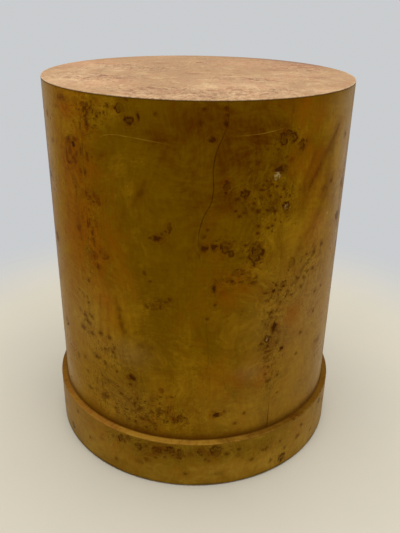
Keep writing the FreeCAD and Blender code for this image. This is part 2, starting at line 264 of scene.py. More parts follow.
# Knots of the front, by angle to the right in degrees, height, half width and half height in millimetres.
drum_black_knots = [
    (-21.9, 484.3, 2, 3.2), (-19.4, 484.6, 1.8, 3.4), (-20.6, 486.6, 3.5, 1.6), (27.2, 431.5, 7, 5),
    (8.3, 348, 2, 4.5), (2.8, 346, 5, 4), (6.1, 347, 4, 4), (29.5, 230, 4.5, 7), (9.3, 410.5, 2, 2),
    (14.6, 410, 4, 2), (-23, 158, 6, 5), (28.2, 282, 3, 2.5), (8.6, 112, 6, 4), (6.3, 296, 3, 5.5),
    (19, 338, 1.6, 7), (21.6, 331, 1.6, 8), (22.6, 336, 1.4, 5), (-17.7, 489, 2, 4), (8.6, 484, 3, 3.5),
    (33.8, 194, 3, 2.6), (-44.2, 447, 3.5, 4.5), (4.8, 468, 4, 3), (-12.5, 355.5, 5, 4),
]
drum_dark_knots = [
    (1, 485, 3.5, 3.5), (37, 460, 3, 2.5), (35.6, 451.5, 3, 3), (21.5, 416, 3, 2), (18, 390, 3, 2.5),
    (15.5, 386, 3, 2), (2.6, 360, 3, 3), (3.8, 368, 2, 2), (9.5, 353, 4, 3), (19.5, 347.5, 5, 1.8),
    (15.5, 301, 3.5, 2), (12.5, 303, 3, 2), (7, 273, 3, 3), (4.4, 255, 2.5, 2.9), (20.3, 299, 4, 3),
    (20.4, 304, 3, 2), (31, 281, 3, 2), (25, 281, 5, 1.8), (34.3, 277, 3, 3), (36, 269, 3, 2.5),
    (31.6, 263, 3, 3), (28, 252, 2.5, 2.5), (30, 253, 2.1, 2.1), (30.8, 225, 2.5, 2.5),
    (28.3, 216.5, 2.5, 2.1), (24.8, 210, 2.9, 2.5), (27.5, 204, 4.2, 1.8), (27.5, 196.5, 5, 2.1),
    (26.3, 188, 2.5, 1.7), (28.3, 172, 3.4, 2.5), (27.2, 162, 2.5, 2.5), (28.2, 150, 2.5, 2.5),
    (33, 155, 2.5, 2.5), (33.5, 125, 2.5, 2.1), (11.6, 116, 2.5, 2.5), (15.9, 94, 3, 2.6),
    (19.4, 108, 2.5, 2.1), (43.5, 205, 3.4, 2.9), (42, 175, 2.5, 2.5), (46.5, 316, 5, 4),
    (42.5, 318, 3, 2.5), (51.5, 323, 4, 4), (43.8, 294, 4, 3), (42, 288, 3, 3), (47, 294, 4, 3),
    (39, 289, 3, 2.5), (41, 275.5, 4, 3), (50.5, 257, 3.4, 3.4), (55, 259, 2.5, 2.5),
    (50.8, 228, 2.5, 2.5), (54, 402, 4, 3), (-35, 492, 3, 3), (-36.5, 486, 3, 3), (-34, 487, 2.5, 3),
    (-12.3, 492, 3, 3), (-21.5, 505, 3, 2), (-37.5, 438, 3, 4), (-9.5, 364.5, 2.2, 2),
    (-10.8, 361, 2.4, 2), (-14.5, 355, 3, 1.8), (-39, 419, 3, 5), (-38.5, 357, 2.5, 5),
    (-36.5, 494.5, 4, 3), (-37.2, 480, 3, 6), (-34.5, 498, 3, 3), (-37.5, 346, 2.5, 4),
    (-35.7, 304, 4, 3.5), (-17, 310, 3, 3), (-15, 300, 3, 2), (-9.5, 276, 4, 3), (-8.5, 279.5, 4, 3),
    (-16.5, 266, 3, 3.5), (-11.5, 268, 2.5, 3.5), (-42.5, 254, 2.5, 2.5), (-42, 247, 2.5, 2.5),
    (-41, 279, 3, 3), (-41.5, 229, 5, 3), (-44.6, 225, 4, 3), (-43, 216.5, 4.5, 3), (-46.5, 204, 6, 4),
    (-41.4, 202, 5, 3), (-36.5, 209, 4.2, 3.4), (-32.5, 208, 3.4, 3.4), (-30.3, 195, 4.2, 4.2),
    (-30.8, 188, 2.5, 2.5), (-34.5, 188, 2.9, 2.5), (-39, 169, 4.2, 3.4), (-35, 165, 3.4, 2.5),
    (-29.5, 160, 2.5, 2.5), (-23.8, 147, 3.4, 2.5), (-8, 139, 3.4, 1.7), (-12, 137, 2.5, 2.1),
    (-28, 127, 2.9, 2.5), (-21, 127, 2.5, 3.4), (-22.3, 119, 2.5, 4.2), (-35, 112, 4.2, 3.4),
    (-45, 110, 5, 3.4), (-12.5, 126, 1.7, 1.7), (-20, 112, 3.4, 2.5), (-15.5, 111, 3.4, 2.9),
    (-11, 115, 3.4, 2.5), (-9.5, 115, 1.7, 3.4), (-7.1, 98, 2.1, 2.1), (-2.5, 107, 2.5, 2.1),
    (-22.5, 89, 2.5, 2.5), (-25, 90, 2.5, 2.5), (-14.3, 93, 2.5, 2.1), (-17, 97, 2.5, 2.1),
    (-19.5, 97, 3.4, 3.4), (-14, 83, 2.5, 2.1), (-46, 135, 3.4, 2.5), (-18, 84, 3.4, 2.5),
    (-31, 100, 2.5, 2.5), (-26, 104, 2.5, 2.5), (63, 452, 4, 3), (66, 389, 5, 4), (68, 384, 3, 3),
    (72, 300, 4, 4), (75, 296, 3, 3), (79, 211, 6, 5), (82, 206, 3, 3), (70, 133, 4, 3), (85, 414, 4, 4),
    (-64, 470, 4, 4), (-67, 391, 5, 4), (-71, 386, 3, 3), (-77, 322, 5, 5), (-79, 315, 3, 3),
    (-69, 244, 4, 3), (-83, 176, 5, 4), (-86, 170, 3, 3), (-74, 104, 4, 3),
]
drum_deep_knots = [
    (20.2, 387, 3.4, 3), (14, 382.5, 3, 2.6), (20.4, 368.5, 2.6, 2.4), (20.4, 360, 2.6, 2.4),
    (24.2, 365.5, 2.6, 2), (25.6, 367, 2.2, 1.8), (26.6, 373.5, 2.2, 1.8), (16.5, 347.5, 3, 2.2),
    (28.2, 400, 2, 2), (31.8, 399, 1.8, 2), (24, 403, 3, 2.4), (21, 411, 5, 1.8), (2.2, 499, 3.2, 2.6),
    (8.5, 499.5, 2.6, 2.4), (8.8, 493, 2.4, 3), (-28, 497, 3.2, 2.8), (-37.2, 492, 3.4, 5),
    (-36.8, 474, 3.2, 6), (-31, 487.5, 2, 2), (-29.6, 489, 2, 2), (-32.4, 484.5, 2, 2),
    (29.2, 289, 2.6, 2.4), (22.5, 421, 2, 1.6), (24.5, 416, 2.4, 1.6), (26.4, 413, 2, 1.6),
    (23.4, 386.5, 2.4, 2), (26.3, 383.5, 2.6, 2), (12.6, 389, 2, 1.8), (29, 409, 2, 2),
    (18.5, 396, 2, 1.8), (14, 318, 3.4, 1.3), (15.6, 311, 4, 1.3), (18, 306.5, 3.6, 1.4), (34, 305, 2, 2),
    (13, 402.5, 4.5, 2.6),
]
drum_ring_knots = [
    (-20.6, 483.6, 4.6, 4.2), (27.7, 465, 5, 6), (29.3, 470, 4, 4), (31.3, 466, 5, 5), (35, 456, 4.5, 5),
    (10.1, 346, 5.5, 6.5), (8.9, 350, 3, 3.5), (20.4, 334, 9, 12), (32.3, 288, 4, 4), (-8.2, 369, 2.8, 5),
    (-4.5, 106, 6, 5), (9.6, 418, 4, 4.5), (15.4, 408, 4.2, 4.6), (11.6, 338, 3, 4), (65, 346, 7, 6),
    (77, 458, 6, 6), (83, 268, 6, 7), (-66, 308, 6, 6), (-80, 440, 7, 6), (-24, 495, 6, 4),
]
drum_soft_rings = [
    (14.5, 313, 7, 5), (17.4, 309, 5, 4), (35, 314, 5, 7), (-32.5, 322, 6, 5.5), (27.5, 443, 4.5, 4),
    (15.8, 434, 5, 5), (-14, 267, 4, 4.5),
]
drum_open_knots = [(30.7, 387, 4.5, 6), (26.9, 215.5, 4, 4.5), (-62, 186, 5, 5), (74, 172, 5, 5)]
drum_filled_knots = [(26.2, 425, 5, 5.2), (18.7, 419, 1.2, 1.2), (53.5, 361, 3, 2)]
drum_faint_knots = [
    (19, 442, 5, 4), (26, 395, 6, 5), (15.4, 332, 6, 3), (31.7, 208, 5, 4), (-17.5, 405, 5, 6),
    (-27, 254, 4, 4), (-27, 243, 4, 5), (-26.5, 231, 4, 6), (-25, 225, 4, 4), (-15, 209, 5, 4),
    (-19, 210, 5, 4), (-60, 441, 8, 3), (-54, 484, 7, 2.5), (58, 171, 12, 5), (49, 396, 7, 5),
    (-53, 505, 4, 2), (9.5, 465, 6, 5), (-47, 156, 5, 4), (-52, 150, 5, 4),
]
drum_red_knots = [
    (-47, 450, 6, 4), (-42.8, 438, 3, 3), (-43.5, 427.5, 3, 2.6), (-40.5, 442, 2, 4),
    (-39.2, 393, 3, 3.4), (-37.4, 390, 3, 2.6), (-35.4, 393.5, 2.6, 2.4), (-34, 390.5, 3, 3),
    (-33.6, 386, 3.4, 2.4), (-36, 386, 2.4, 2), (-39.2, 355, 2.5, 3.5), (-46.6, 440, 3, 5),
    (-44.5, 431, 3.5, 2), (-47, 424, 4, 2), (-43.4, 453, 3.5, 2.5), (-48.6, 433, 2, 5),
    (-44.5, 345, 3.2, 3.2), (-41, 417, 3, 4), (-37.4, 437, 3, 4), (-37, 317, 5, 4), (-50, 496, 8, 3),
    (-38, 494, 3, 3), (-11.5, 148, 3, 4), (-7, 104, 3, 3), (31.5, 441, 4, 3),
]

# Soft patches, by angle, height, half width, half height and strength: honey against olive, rust-brown
# flames, pale gold, pepper, which is where fine specks crowd, and painted sheen, a pale painted reflection
# that lies mostly towards the sides.
drum_honey = [
    (-52, 420, 50, 90, 0.36), (-46, 340, 30, 50, 0.20), (-36, 245, 20, 34, 0.32),
    (-33, 235, 12, 16, 0.15), (-28, 350, 22, 60, 0.15), (10, 290, 30, 40, 0.15), (8, 165, 50, 34, 0.12),
    (46, 347, 24, 20, 0.32), (40, 235, 22, 26, 0.30), (25, 160, 14, 16, 0.24), (-14, 430, 46, 50, -0.40),
    (-12, 300, 36, 60, -0.25), (24, 372, 30, 34, -0.28), (-20, 195, 34, 34, -0.30),
    (13, 230, 40, 30, -0.20), (-50, 490, 30, 24, 0.30), (36, 492, 40, 20, 0.18), (14, 472, 44, 34, -0.20),
    (40, 425, 22, 22, 0.26), (52, 300, 34, 60, 0.10), (-55, 200, 40, 90, 0.25), (70, 230, 34, 70, 0.2),
    (-75, 300, 40, 90, 0.25), (12, 440, 26, 60, -0.05), (-3, 250, 20, 40, 0.08), (-29, 225, 14, 24, 0.12),
    (-23, 285, 14, 20, 0.20), (-44, 90, 34, 14, 0.15), (48, 90, 34, 14, 0.15), (-66, 104, 22, 26, 0.30),
    (82, 430, 30, 40, 0.25), (86, 180, 40, 40, 0.25), (-86, 240, 40, 50, 0.2), (-3, 437, 16, 18, -0.10),
    (47, 397, 16, 12, 0.22), (47, 350, 12, 10, 0.10), (-46, 501, 46, 9, 0.16), (-50, 497, 36, 9, 0.14),
    (40.5, 346, 9, 12, 0.22),
]
seam_honey = [(-35, 238, 14, 36, 0.18), (-38, 330, 10, 40, 0.10)]
drum_flames = [
    (-45, 434, 15, 20, 0.12), (-37, 392, 14, 9, 0.28), (-37.5, 312, 8, 12, 0.22),
    (-45, 352, 12, 18, 0.25), (-50, 496, 14, 4, 0.25), (6.5, 300, 6, 16, 0.15), (13.5, 405, 9, 7, 0.14),
    (33, 448, 12, 8, 0.15), (73, 380, 10, 40, 0.30), (-76, 380, 10, 34, 0.30), (80, 120, 14, 30, 0.20),
    (-38, 130, 14, 24, 0.08), (43, 320, 10, 20, 0.08), (-10, 358, 10, 8, 0.12), (-41, 83, 34, 6, 0.35),
]
# Gold patches are partly painted light and shade: the front is painted lighter towards the foot, where the
# floor throws light up, and at the sides, and darker near the top. The rest is the gold of the wood.
drum_gold_and_painted_light = [
    (6, 165, 50, 40, 0.25), (-14, 150, 26, 24, 0.25), (34, 372, 26, 40, 0.35), (33, 130, 34, 44, 0.20),
    (38, 480, 22, 20, 0.12), (-46, 465, 20, 14, 0.35), (-38, 240, 18, 30, 0.40), (-30, 170, 24, 14, 0.30),
    (-33, 100, 24, 20, 0.25), (24, 340, 14, 20, 0.25), (10, 260, 24, 24, 0.20), (4, 100, 120, 24, 0.28),
    (-50, 120, 30, 40, 0.30), (50, 150, 34, 70, 0.30), (14, 470, 60, 36, -0.38), (-8, 480, 40, 24, -0.30),
    (0, 380, 16, 60, -0.20), (12, 397, 20, 18, -0.28), (20, 488, 44, 20, -0.18), (57, 440, 9, 26, 0.70),
    (48, 470, 12, 26, 0.35), (48, 410, 7, 14, 0.35), (42, 386, 8, 14, 0.15), (40, 140, 30, 40, 0.30),
    (-66, 300, 30, 220, 0.35), (66, 300, 30, 220, 0.40), (-22, 195, 20, 16, 0.30),
    (36, 345, 16, 30, 0.25), (30, 255, 34, 50, 0.30), (-46, 225, 50, 60, 0.25), (-30, 493, 20, 12, 0.40),
    (-40, 130, 40, 40, 0.25), (54, 350, 20, 40, 0.30), (-34, 200, 24, 26, 0.20),
    (-14, 250, 16, 40, -0.06), (-5, 420, 30, 50, -0.20), (-58, 430, 22, 80, 0.35),
    (-58, 300, 22, 90, 0.20), (45, 325, 20, 30, 0.40), (50, 255, 24, 40, 0.30), (-58, 100, 30, 30, 0.35),
    (52, 440, 14, 60, 0.15), (-44, 190, 20, 36, 0.25), (-25, 265, 16, 30, 0.25), (-2, 215, 20, 16, 0.20),
    (46, 303, 16, 18, 0.25), (54, 477, 14, 20, 0.30), (11, 305, 14, 30, -0.20), (-58, 493, 34, 14, 0.30),
    (-23, 418, 14, 24, 0.30), (20, 215, 20, 20, 0.25), (-45, 215, 20, 20, 0.30), (19, 315, 12, 12, 0.25),
    (18, 102, 20, 20, 0.25), (34, 462, 12, 16, 0.16), (-11, 342, 18, 14, -0.18), (-44, 293, 14, 20, 0.20),
    (50, 190, 14, 20, 0.15), (-30, 245, 12, 26, 0.15), (-20, 245, 12, 24, 0.22), (-37, 182, 12, 14, 0.25),
    (-3, 435, 14, 14, 0.20), (3, 458, 14, 12, 0.10), (7.5, 420, 9, 36, -0.22), (14, 170, 14, 14, -0.20),
    (13, 155, 12, 10, -0.12), (24, 172, 8, 6, -0.10), (39, 240, 12, 12, -0.15), (44, 397, 14, 12, 0.10),
    (-42, 501, 38, 9, 0.32), (38, 362, 14, 24, -0.16), (5, 262, 16, 34, -0.12), (-15, 155, 16, 16, -0.10),
    (15, 125, 16, 16, 0.10), (38, 125, 26, 18, -0.14), (34, 469, 14, 10, 0.13), (34, 504, 16, 6, -0.20),
    (5, 469, 18, 10, 0.10), (34, 275, 14, 16, 0.10), (15, 420, 18, 20, -0.10), (-5, 97, 18, 14, 0.08),
    (-54, 390, 26, 50, 0.06), (-41.5, 401, 14, 18, 0.12), (0, 472, 26, 14, 0.12),
]
drum_pepper = [
    (-20, 108, 44, 30, 0.74), (-38, 120, 24, 26, 0.6), (-44, 228, 16, 34, 0.62), (-34, 178, 26, 22, 0.7),
    (25, 398, 34, 30, 0.8), (29, 215, 14, 56, 0.8), (15, 303, 26, 12, 0.7), (-34, 488, 22, 14, 0.8),
    (46, 305, 26, 24, 0.7), (32, 276, 24, 16, 0.7), (-38, 335, 12, 44, 0.5), (14, 345, 30, 14, 0.5),
    (-10, 102, 26, 12, 0.7), (30, 155, 12, 30, 0.35), (22, 455, 40, 24, 0.25), (-13, 272, 20, 10, 0.6),
    (68, 390, 26, 30, 0.6), (80, 210, 24, 30, 0.7), (-70, 390, 26, 26, 0.6), (-80, 318, 24, 28, 0.6),
    (76, 296, 24, 18, 0.5), (-72, 110, 40, 26, 0.6), (70, 130, 30, 24, 0.4), (50, 235, 24, 40, 0.35),
    (-46, 420, 44, 80, 0.42), (-37, 483, 10, 22, 0.6), (0, 160, 60, 40, 0.10), (84, 440, 26, 30, 0.9),
    (75, 250, 30, 40, 0.6), (86, 350, 20, 30, 0.8), (86, 150, 24, 40, 0.8), (-84, 440, 26, 30, 0.8),
    (-77, 220, 30, 44, 0.7), (-86, 130, 26, 30, 0.7), (-75, 460, 20, 20, 0.6),
]
# Painted sheen: a pale painted reflection, strongest along the sides.
drum_painted_sheen = [
    (68, 300, 30, 500, 0.45), (-69, 300, 24, 500, 0.36), (52, 250, 40, 60, 0.14), (34, 230, 44, 60, 0.08),
    (-67, 450, 22, 60, 0.25), (-66, 160, 28, 40, 0.18), (-68, 95, 40, 20, 0.35), (64, 440, 28, 60, 0.12),
    (66, 150, 26, 50, 0.10), (68, 95, 30, 20, 0.10), (-52, 215, 60, 50, 0.14), (34, 110, 90, 44, 0.06),
    (-24, 194, 24, 16, 0.09), (-28, 110, 40, 34, 0.06), (23, 172, 16, 14, 0.05), (54, 150, 40, 80, 0.12),
    (110, 300, 60, 500, 0.30), (-110, 300, 60, 500, 0.30), (-67, 98, 26, 20, 0.10),
    (52, 265, 30, 40, 0.06), (-67, 415, 20, 44, 0.12), (66, 390, 20, 60, 0.12), (-64, 494, 26, 12, 0.12),
    (58, 494, 30, 12, 0.12), (64, 400, 14, 50, 0.08), (-66, 312, 14, 36, -0.10), (-67, 108, 20, 16, 0.08),
    (50, 347, 16, 16, 0.08), (39, 240, 12, 14, -0.08), (19, 172, 12, 8, 0.06), (-54, 390, 26, 50, -0.05),
    (-49, 482, 16, 24, -0.04), (-49, 390, 14, 50, -0.04), (-29, 225, 26, 26, -0.03),
    (48, 402, 16, 30, -0.03), (56, 470, 16, 14, 0.05),
]

# Flame streaks: half width in millimetres, strength, and the places that the streak runs through.
drum_streaks = [
    (8.5, 0.38, [(55.5, 470), (52.5, 456), (47.6, 439), (43.6, 421), (40.8, 404), (39.4, 393)]),
    (6.0, 0.30, [(42, 443), (40, 425), (37.2, 403)]),
    (2.2, 0.30, [(41.5, 443), (40, 430), (38, 415), (37, 400)]),
    (2.5, 0.22, [(49.2, 446), (45.6, 432), (42.6, 416), (40, 404)]),
    (2.6, 0.18, [(54, 464), (49.5, 442), (43.6, 414)]),
    (1.8, 0.30, [(55, 468), (52.6, 458), (50.4, 450)]),
    (1.8, 0.28, [(45.6, 428), (42.6, 415), (40.2, 400)]),
    (7.5, 0.36, [(50.5, 418), (49.5, 401), (48, 388)]),
    (5.0, 0.40, [(47, 367), (43, 352), (39, 338), (37.5, 325)]),
    (4.0, 0.26, [(55, 410), (51, 393), (48, 372)]), (2.6, 0.30, [(46, 352), (42, 332)]),
    (3.2, 0.30, [(38, 458), (34, 446)]), (2.6, 0.50, [(-16.2, 418), (-17.6, 406), (-20.2, 391)]),
    (2.5, 0.25, [(-23.5, 386), (-25.5, 358)]), (2.5, 0.45, [(-28.5, 268), (-27, 244), (-25.5, 222)]),
    (2.0, 0.42, [(-35.6, 264), (-36.4, 206)]), (2.2, 0.30, [(-32, 258), (-32.6, 214)]),
    (2.0, 0.55, [(-47.5, 450), (-46, 456), (-43.5, 454)]),
    (1.8, 0.50, [(-48.6, 446), (-49.4, 436), (-48, 424)]), (1.6, 0.50, [(-45.4, 431), (-42.8, 436)]),
    (1.8, 0.50, [(-48, 423), (-45, 427), (-42.8, 431)]),
    (1.8, 0.45, [(-50, 414), (-47, 416), (-44, 421)]), (1.8, 0.35, [(-46, 446), (-45.6, 437)]),
    (2.5, 0.25, [(-42.2, 470), (-41.2, 440), (-42, 405)]),
    (2.5, 0.25, [(-51, 470), (-52, 440), (-50.5, 400), (-51, 350)]),
    (2.2, 0.32, [(-44, 400), (-45.5, 372), (-43.5, 330)]), (4.0, 0.40, [(70, 440), (66, 380), (67, 330)]),
    (4.0, 0.40, [(-72, 450), (-69, 400), (-71, 340)]), (3.0, 0.35, [(83, 330), (80, 280), (81, 230)]),
    (3.0, 0.35, [(-84, 300), (-81, 250), (-83, 200)]), (2.0, 0.15, [(16, 250), (15, 215), (17, 180)]),
    (4.0, 0.40, [(88, 470), (84, 430), (86, 380)]), (3.0, 0.35, [(76, 260), (79, 220), (77, 170)]),
    (4.0, 0.40, [(-88, 430), (-85, 390), (-88, 340)]), (3.0, 0.35, [(-76, 180), (-79, 140), (-77, 100)]),
]

# Scratches: the places that each runs through, from its sharp end to the one where it fades.
drum_scratches = [
    [
        (-31.6, 459), (-31.4, 462), (-30.4, 464.5), (-28, 466.4), (-25, 467.2), (-20, 466.4), (-13, 464),
        (-6, 461),
    ],
    [(-30.8, 451.5), (-28.5, 453)],
    [(28.5, 477.5), (25, 475), (20, 472.5), (14, 471.5), (8.5, 471)],
]

# How each kind of knot is made: the depth of its stain, its heart and its redness. The heart is 0 in a
# solid knot, about a half in a ring, 1 in a hollow one, and 2 in one that is filled with putty.
knot_makes = {
    "black": (1.15, 0.0, 0.1),
    "deep": (0.84, 0.0, 0.3),
    "dark": (0.62, 0.0, 0.2),
    "faint": (0.36, 0.0, 0.3),
    "ring": (0.95, 0.6, 0.1),
    "soft": (0.50, 0.6, 0.3),
    "red": (0.80, 0.45, 1.0),
    "hollow": (0.95, 1.0, 0.0),
    "filled": (0.0, 2.0, 0.0),
}
patch_falloff = 0.7
burl_tones = ("honey", "rust", "gold", "pepper", "painted_sheen")


def knots_of(mm_per_degree, **kinds):
    """All knots of a sheet as rows: place across and up, half sizes, then depth, heart and redness."""
    rows = []
    for kind, knots in kinds.items():
        for angle, height, half_width, half_height in knots:
            rows.append((angle * mm_per_degree, height, half_width, half_height, *knot_makes[kind]))
    return np.array(rows)


def soft_sum(flat, patches, mm_per_degree):
    """The patches added up at each point of the flat sheet."""
    total = np.zeros(len(flat))
    for angle, height, half_width, half_height, strength in patches:
        across = (flat[:, 0] - angle * mm_per_degree) / half_width
        up = (flat[:, 1] - height) / half_height
        total += strength * np.exp(-patch_falloff * (across**2 + up**2))
    return total


def streak_sum(flat, streaks, mm_per_degree):
    """The streaks added up at each point of the flat sheet."""
    total = np.zeros(len(flat))
    for half_width, strength, places in streaks:
        line = np.array(places, dtype=float) * (mm_per_degree, 1.0)
        off = np.full(len(flat), np.inf)
        for start, end in zip(line[:-1], line[1:]):
            run = np.clip((flat - start) @ (end - start) / np.sum((end - start) ** 2), 0.0, 1.0)
            off = np.minimum(off, np.hypot(*(flat - start - run[:, None] * (end - start)).T))
        total += strength * np.exp(-patch_falloff * (off / half_width) ** 2)
    return total


def write_burl(piece, flat, shift, knots, tones, edge, scratches=()):
    """Writes on a sheet's mesh where each corner lies in the flat veneer, on its nearest knot and along its
    nearest scratch. flat is each point's place in millimetres, tones are the sums of its soft patches in
    the order of burl_tones, and edge is its distance from the sheet's own edges in millimetres."""
    scratch_reach = 12.0
    off_scratch = 50.0
    sharp_start = 8
    mesh = piece.data
    corner_point = np.empty(len(mesh.loops), dtype=np.int32)
    mesh.loops.foreach_get("vertex_index", corner_point)
    corner_count = np.empty(len(mesh.polygons), dtype=np.int32)
    mesh.polygons.foreach_get("loop_total", corner_count)
    corner_face = np.repeat(np.arange(len(mesh.polygons)), corner_count)
    corner_flat = flat[corner_point]
    middle = np.stack([np.bincount(corner_face, corner_flat[:, axis]) / corner_count for axis in (0, 1)], 1)
    reach = (middle[:, None, :] - knots[None, :, :2]) / knots[None, :, 2:4]
    nearest = np.argmin((reach**2).sum(2), 1)
    on_knot = (corner_flat - knots[nearest[corner_face], :2]) / knots[nearest[corner_face], 2:4]
    on_scratch = np.full_like(corner_flat, off_scratch)
    closest = np.full(len(mesh.polygons), scratch_reach)
    for line in scratches:
        steps = [np.hypot(end[0] - start[0], end[1] - start[1]) for start, end in zip(line[:-1], line[1:])]
        for step, (start, end) in enumerate(zip(line[:-1], line[1:])):
            along = (np.array(end) - np.array(start)) / steps[step]
            face_run = np.clip((middle - start) @ along, 0.0, steps[step])
            gap = np.hypot(*(middle - start - face_run[:, None] * along).T)
            better = gap < closest
            closest = np.where(better, gap, closest)
            off = (corner_flat - start) @ np.array([-along[1], along[0]])
            run = (corner_flat - start) @ along + sum(steps[:step])
            inside = np.minimum(sharp_start * run, sum(steps) - run)
            on_scratch = np.where(better[corner_face][:, None], np.stack([off, inside], 1), on_scratch)
    maps = {"sheet": corner_flat / 1000.0 + np.array(shift), "knot": on_knot, "scratch": on_scratch}
    for name, values in maps.items():
        map_layer = mesh.uv_layers.get(name) or mesh.uv_layers.new(name=name)
        map_layer.uv.foreach_set("vector", values.astype(np.float32).ravel())
    make = mesh.attributes.new("knot_make", "FLOAT_VECTOR", "FACE")
    make.data.foreach_set("vector", knots[nearest, 4:7].astype(np.float32).ravel())
    for name, values in zip((*burl_tones, "from_edge"), (*tones, edge)):
        tone = mesh.attributes.new(name, "FLOAT", "POINT")
        tone.data.foreach_set("value", values.astype(np.float32))


# Sizes of the burl's figure. Scales count patches to the metre, across and along the leaf where they
# differ. Reaches say how far a place is pushed about, in metres, or in knot sizes for the wobble.
swirl_scale = 11.0
swirl_reach = 0.045
drift_scale = 13.0
blotch_scales = (58.0, 36.0, 1.0)
mottle_scale = 150.0
fibre_scales = (330.0, 42.0, 1.0)
cross_scales = (60.0, 260.0, 1.0)
grain_scale = 700.0
glow_scale = 30.0
curl_scale = 62.0
ragged_scale = 300.0
ragged_reach = 0.006
stroke_scale = 85.0
glint_scale = 110.0
smudge_scales = (120.0, 80.0, 1.0)
wobble_scale = 170.0
wobble_reach = 1.6
rim_break_scale = 95.0
putty_crumb_scale = 330.0
scratch_break_scale = 60.0
scratch_pale = (0.30, 0.165, 0.014, 1.0)

# Pepper specks of three kinds: scale, size, and rarity, which the patches have to overcome.
speck_kinds = [(420.0, 0.46, 1.04), (230.0, 0.40, 1.14), (120.0, 0.30, 1.28)]


def flat_cloud(finish, place, scale, detail=2.0, roughness=0.5):
    """A cloudy pattern from 0 to 1 on the flat sheet."""
    return cloud(finish, place, scale, detail, roughness, "2D")


def mixed(finish, start, *parts):
    """A value with parts added to it, each by its share."""
    for value, share in parts:
        start = calc(finish, "MULTIPLY_ADD", value, share, start)
    return start


def swirled(finish, place, sheet, scale, detail, reach):
    """A place pushed about by a cloudy pattern on the sheet."""
    pattern = {"Vector": sheet, "Scale": scale, "Detail": detail}
    push = layer(finish, "TexNoise", pattern, noise_dimensions="2D").outputs["Color"]
    push = layer(finish, "VectorMath", {0: push, 1: (0.5, 0.5, 0.5)}, operation="SUBTRACT").outputs[0]
    push = layer(finish, "VectorMath", {0: push, "Scale": reach}, operation="SCALE").outputs[0]
    return layer(finish, "VectorMath", {0: place, 1: push}, operation="ADD").outputs[0]


def thin_lines(finish, pattern, level, half_width):
    """Thin lines where a pattern passes through a level."""
    off = calc(finish, "ABSOLUTE", calc(finish, "SUBTRACT", pattern, level))
    return ease(finish, off, half_width, 0.0)


def warm_shade(finish, wood, change):
    """Wood made lighter or darker. Red changes least, so that dark wood stays warm."""
    red = calc(finish, "MULTIPLY_ADD", change, 0.8, 1.0)
    green_and_blue = calc(finish, "MULTIPLY_ADD", change, 1.3, 1.0)
    shade = layer(finish, "CombineColor", {0: red, 1: green_and_blue, 2: green_and_blue}).outputs[0]
    return tint(finish, 1.0, wood, shade, "MULTIPLY")


